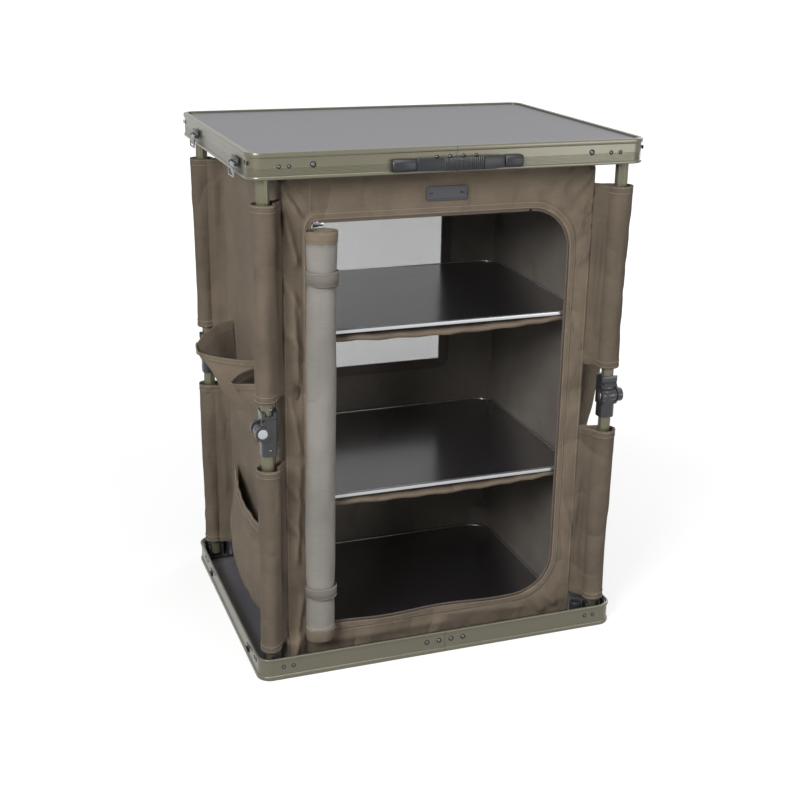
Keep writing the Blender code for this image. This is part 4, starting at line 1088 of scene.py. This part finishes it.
# Side pockets: rows of (reach from the wall, y, z) in millimetres, from the foot to the mouth
UPPER_POCKET = metres((
    ((0, 0, 314), (0.5, -6, 314), (0.8, -14, 314), (0.5, -24, 314), (0, -38, 318)),
    ((0, 30, 330), (8, 18, 328), (12, 6, 326), (8, -12, 324), (0, -37, 328)),
    ((0, 94, 404), (24, 72, 402), (44, 38, 397), (24, 4, 394), (0, -40, 400)),
    ((0, 117, 474), (34, 101, 470.5), (75, 58, 449), (36, 10, 444), (0, -52, 456)),
))
SMALL_POCKET = metres((
    ((0, -50, 324), (0.5, -70, 324), (0.5, -94, 324), (0.5, -122, 324), (0, -146, 324)),
    ((0, -46, 336), (6, -70, 336), (8, -96, 336), (5, -124, 336), (0, -150, 336)),
    ((0, -42, 392), (20, -72, 394), (26, -100, 393), (16, -130, 394), (0, -156, 396)),
    ((0, -52, 446), (34, -74, 444), (50, -100, 439.5), (28, -130, 446), (0, -160, 454)),
))
DEEP_POCKET = metres((
    ((0, -40, 314), (1, -70, 250), (2, -120, 236), (1, -138, 236), (0, -150, 240)),
    ((1, -38, 326), (16, -76, 300), (28, -126, 298), (16, -143, 300), (0, -155, 302)),
    ((3, -34, 392), (30, -80, 380), (46, -126, 378), (30, -145, 380), (0, -158, 385)),
    ((4, -33, 436), (36, -82, 440), (52, -126, 440), (36, -146, 438), (0, -160, 436)),
))
LOWER_POCKET = metres((
    ((0, 124, 40), (3, 94, 40), (4, 48, 40), (4, -10, 40), (4, -58, 40), (3, -100, 40),
     (0, -140, 40)),
    ((0, 130, 52), (10, 98, 50), (16, 50, 48), (18, -10, 48), (16, -60, 48), (9, -106, 48),
     (0, -148, 48)),
    ((0, 134, 130), (16, 100, 126), (25, 50, 121), (27, -5, 118), (24, -56, 116),
     (14, -106, 112), (0, -155, 110)),
    ((0, 124, 217), (10, 70, 214), (18, 18, 211.5), (21, -26, 207), (18.5, -70, 207.5),
     (12, -104, 201), (0, -152, 195)),
))
# Where up a pocket its hem begins, and the counts of faces below, within and across it
HEM = 0.905
ROWS, HEM_ROWS, COLUMNS = 36, 5, 96


def tucked(side):
    """The fold of a high pocket, down and a little inwards so that its mouth ends inside the rail;
    nothing here applies it.
    """
    return dict(FOLD, axis=(side * 0.075, 0, 1), anchor=(side * BODY_X, 0, BODY_LOW))


def spline(values, t):
    n = len(values) - 1
    i = min(int(t * n), n - 1)
    f = t * n - i
    p0, p1 = values[max(i - 1, 0)], values[i]
    p2, p3 = values[i + 1], values[min(i + 2, n)]
    return 0.5 * ((2 * p1) + (-p0 + p2) * f + (2 * p0 - 5 * p1 + 4 * p2 - p3) * f * f
                  + (-p0 + 3 * p1 - 3 * p2 + p3) * f ** 3)


def pocket(name, side, table, node=""):
    """Refines a few given rows into a smooth hanging band with a hem."""
    steps = [i * HEM / ROWS for i in range(ROWS + 1)] + [HEM + 0.004]
    steps += [HEM + (1 - HEM) * i / HEM_ROWS for i in range(1, HEM_ROWS + 1)]
    rows = []
    for v in steps:
        row = []
        for k in range(COLUMNS + 1):
            u = k / COLUMNS
            reach, y, z = [spline([spline([p[axis] for p in r], u) for r in table], v)
                           for axis in range(3)]
            free = min(1.0, reach / 0.012)
            ripple = 0.0022 * drift(0, y, z, 0.034, 2.2) + 0.0007 * math.sin(y * 160 + z * 40)
            reach = min(max(reach + free * ripple, 0.0), 0.0712) + (0.0007 if v > HEM else 0.0)
            row.append((side * (BODY_X + 0.0052 + reach), y, z))
        rows.append(row)
    mesh = net_of(rows, score=lambda f: f.normal.x * side)
    tall = table[-1][0][2] - table[0][0][2]
    flat = (tall * 1.1, area_of(mesh) / (tall * 1.1) * 1.02)
    high = table is not LOWER_POCKET
    # The inner faces take the darker pocket finish, which is painted shade inside the pocket.
    piece = cloth(name, mesh, flat, finishes="khaki pocket khaki khaki_dark",
                  fold=tucked(side) if high else FOLD, node=node)
    for index, face in enumerate(piece.data.polygons):
        if index // COLUMNS > ROWS:
            face.material_index = 2
    for share in (0.25, 0.82):
        i = ROWS + 1 + int(share * HEM_ROWS)
        f = share * HEM_ROWS % 1
        line = [Vector(a).lerp(Vector(b), f) + Vector((side * 0.0004, 0, 0))
                for a, b in zip(rows[i], rows[min(i + 1, len(rows) - 1)])]
        sew(line, (side, 0, 0), into=HEM_STITCHES[side] if high else STITCHES)


pocket("left_upper_pocket_cloth", -1, UPPER_POCKET, "left_upper_pocket")
pocket("left_small_pocket_cloth", -1, SMALL_POCKET)
pocket("left_lower_pocket_cloth", -1, LOWER_POCKET, "left_lower_pocket")
pocket("right_upper_pocket_cloth", 1, UPPER_POCKET, "right_pockets")
pocket("right_small_pocket_cloth", 1, DEEP_POCKET)
pocket("right_lower_pocket_cloth", 1, LOWER_POCKET)


# Handle: end caps and a ribbed strap
def handle():
    low, high, count = 0.7674, 0.7846, 420
    first_rib, last_rib, pitch = -0.023, 0.0363, 0.00297
    rows = []
    for i in range(count + 1):
        share = i / count
        x = -0.0627 + 0.1324 * share
        rib = 0.0
        if first_rib < x < last_rib:
            wave = math.cos(2 * math.pi * (x - first_rib) / pitch + math.pi)
            rib = 0.0010 * (0.5 + 0.5 * wave) ** 0.6
        swell = 0.0009 if last_rib <= x < 0.056 else 0.0
        inner = -DEPTH / 2 - 0.0022 - 0.0050 * math.sin(math.pi * share) ** 0.5
        outer = inner - 0.0026 - rib - swell
        grow = rib * 0.5 + swell * 0.4
        rows.append([(x, inner, low + 0.0012), (x, inner, high - 0.0012),
                     (x, inner - 0.0008, high + grow), (x, outer + 0.0008, high + grow),
                     (x, outer, high - 0.0018), (x, outer, (low + high) / 2),
                     (x, outer, low + 0.0018), (x, outer + 0.0008, low - grow),
                     (x, inner - 0.0008, low - grow)])
    solid("grip_strap", rows, "top", "strap_plastic", "strap", caps=True, sharp=55,
          node="handle_strap")
    for end in ("left", "right"):
        softened("handle_cap_" + end, "top", "strap_plastic", "strap", 0.0009, 3)


handle()

# Latches and catches
for end in ("front", "rear"):
    softened("latch_plate_" + end, "top", "dark_plate", "plate", 0.0003, 2)
    softened("latch_lever_" + end, "lever_" + end, "bright_wire", "bright", 0.0003, 2)
    softened("latch_loop_" + end, "loop_" + end, "bright_wire", "bright", 0.0004, 2)
    softened("latch_catch_" + end, "base", "dark_plate", "plate", 0.0004, 2)


# Bare moulded patch on the front panel
def patch():
    mid_x, mid_z, half_x, half_z = 0.0035, 0.7255, 0.0315, 0.0105
    outline = hole_outline(-0.028, 0.035, 0.715, 0.736, 0.0030, 0.0030)
    rings = []
    for grow, lift in metres(((0, 0), (0, 1.9), (-0.5, 2.4), (-2.2, 2.4), (-2.7, 1.7), (-9, 1.7))):
        ring = []
        for x, z in outline:
            across, tall = abs(x - mid_x) / half_x, abs(z - mid_z) / half_z
            ring.append((x + math.copysign(1, x - mid_x) * grow * min(1.0, across * 1.4),
                         -BODY_Y - 0.0016 - lift,
                         z + math.copysign(1, z - mid_z) * grow * min(1.0, tall * 1.4)))
        rings.append(ring)
    solid("bare_patch", rings, "base", "khaki_cloth", "badge", caps=True, sharp=38, fold=FOLD)


patch()

scattered("stitching", "stitch", STITCHES, "base", "khaki_cloth", fold=FOLD)
for side, name in ((-1, "left"), (1, "right")):
    scattered(name + "_pocket_stitching", "stitch", HEM_STITCHES[side], "base", "khaki_cloth",
              fold=tucked(side))


# Floor and light
LAMPS = (("key", (-1.75, -1.75, 1.65), 0.9, 58), ("fill", (1.8, -2.9, 0.7), 1.0, 19),
         ("top", (0.0, -0.7, 2.7), 1.4, 29), ("back", (2.4, 1.7, 1.8), 1.2, 20))
AMBIENT = 0.20


def shown(graph, strength):
    """Strength on camera and see-through rays, less on glossy ones, nothing on the rest."""
    outputs = graph.add("ShaderNodeLightPath").socket.node.outputs
    camera, glossy, through = [Wire(graph, outputs[f"Is {kind} Ray"])
                               for kind in ("Camera", "Glossy", "Transmission")]
    return camera.most(glossy * 0.72).most(through) * strength


def stage_and_light():
    floor = placed("floor", net_of([[(-60, -60, 0), (60, -60, 0)], [(-60, 60, 0), (60, 60, 0)]]))
    white = Finish("floor_white", {"Roughness": 0.9, "Base Color": (0.32, 0.32, 0.32)})
    x, y, z = white.axes()
    far = ((x * x + y * y) * 0.45 - 0.30).held()
    white.feed({"Emission Color": white.mix(far, (0.73, 0.73, 0.73), (1.0, 1.0, 1.0)),
                "Emission Strength": shown(white, 1.0)})
    floor.data.materials.append(white.material)
    world = bpy.data.worlds.new("studio")
    bpy.context.scene.world = world
    world.use_nodes = True
    sky = Graph(world.node_tree)
    background = world.node_tree.nodes["Background"]
    sky.join((1, 1, 1), background.inputs["Color"])
    sky.join(shown(sky, 1 - AMBIENT) + AMBIENT, background.inputs["Strength"])
    for name, place, size, power in LAMPS:
        lamp = bpy.data.lights.new(name, "AREA")
        lamp.energy = power
        lamp.size = size
        turn = (Vector((0, 0, 0.45)) - Vector(place)).to_track_quat("-Z", "Y")
        placed(name, lamp).matrix_world = Matrix.Translation(place) @ turn.to_matrix().to_4x4()
    bpy.context.scene.view_settings.view_transform = "Standard"


stage_and_light()
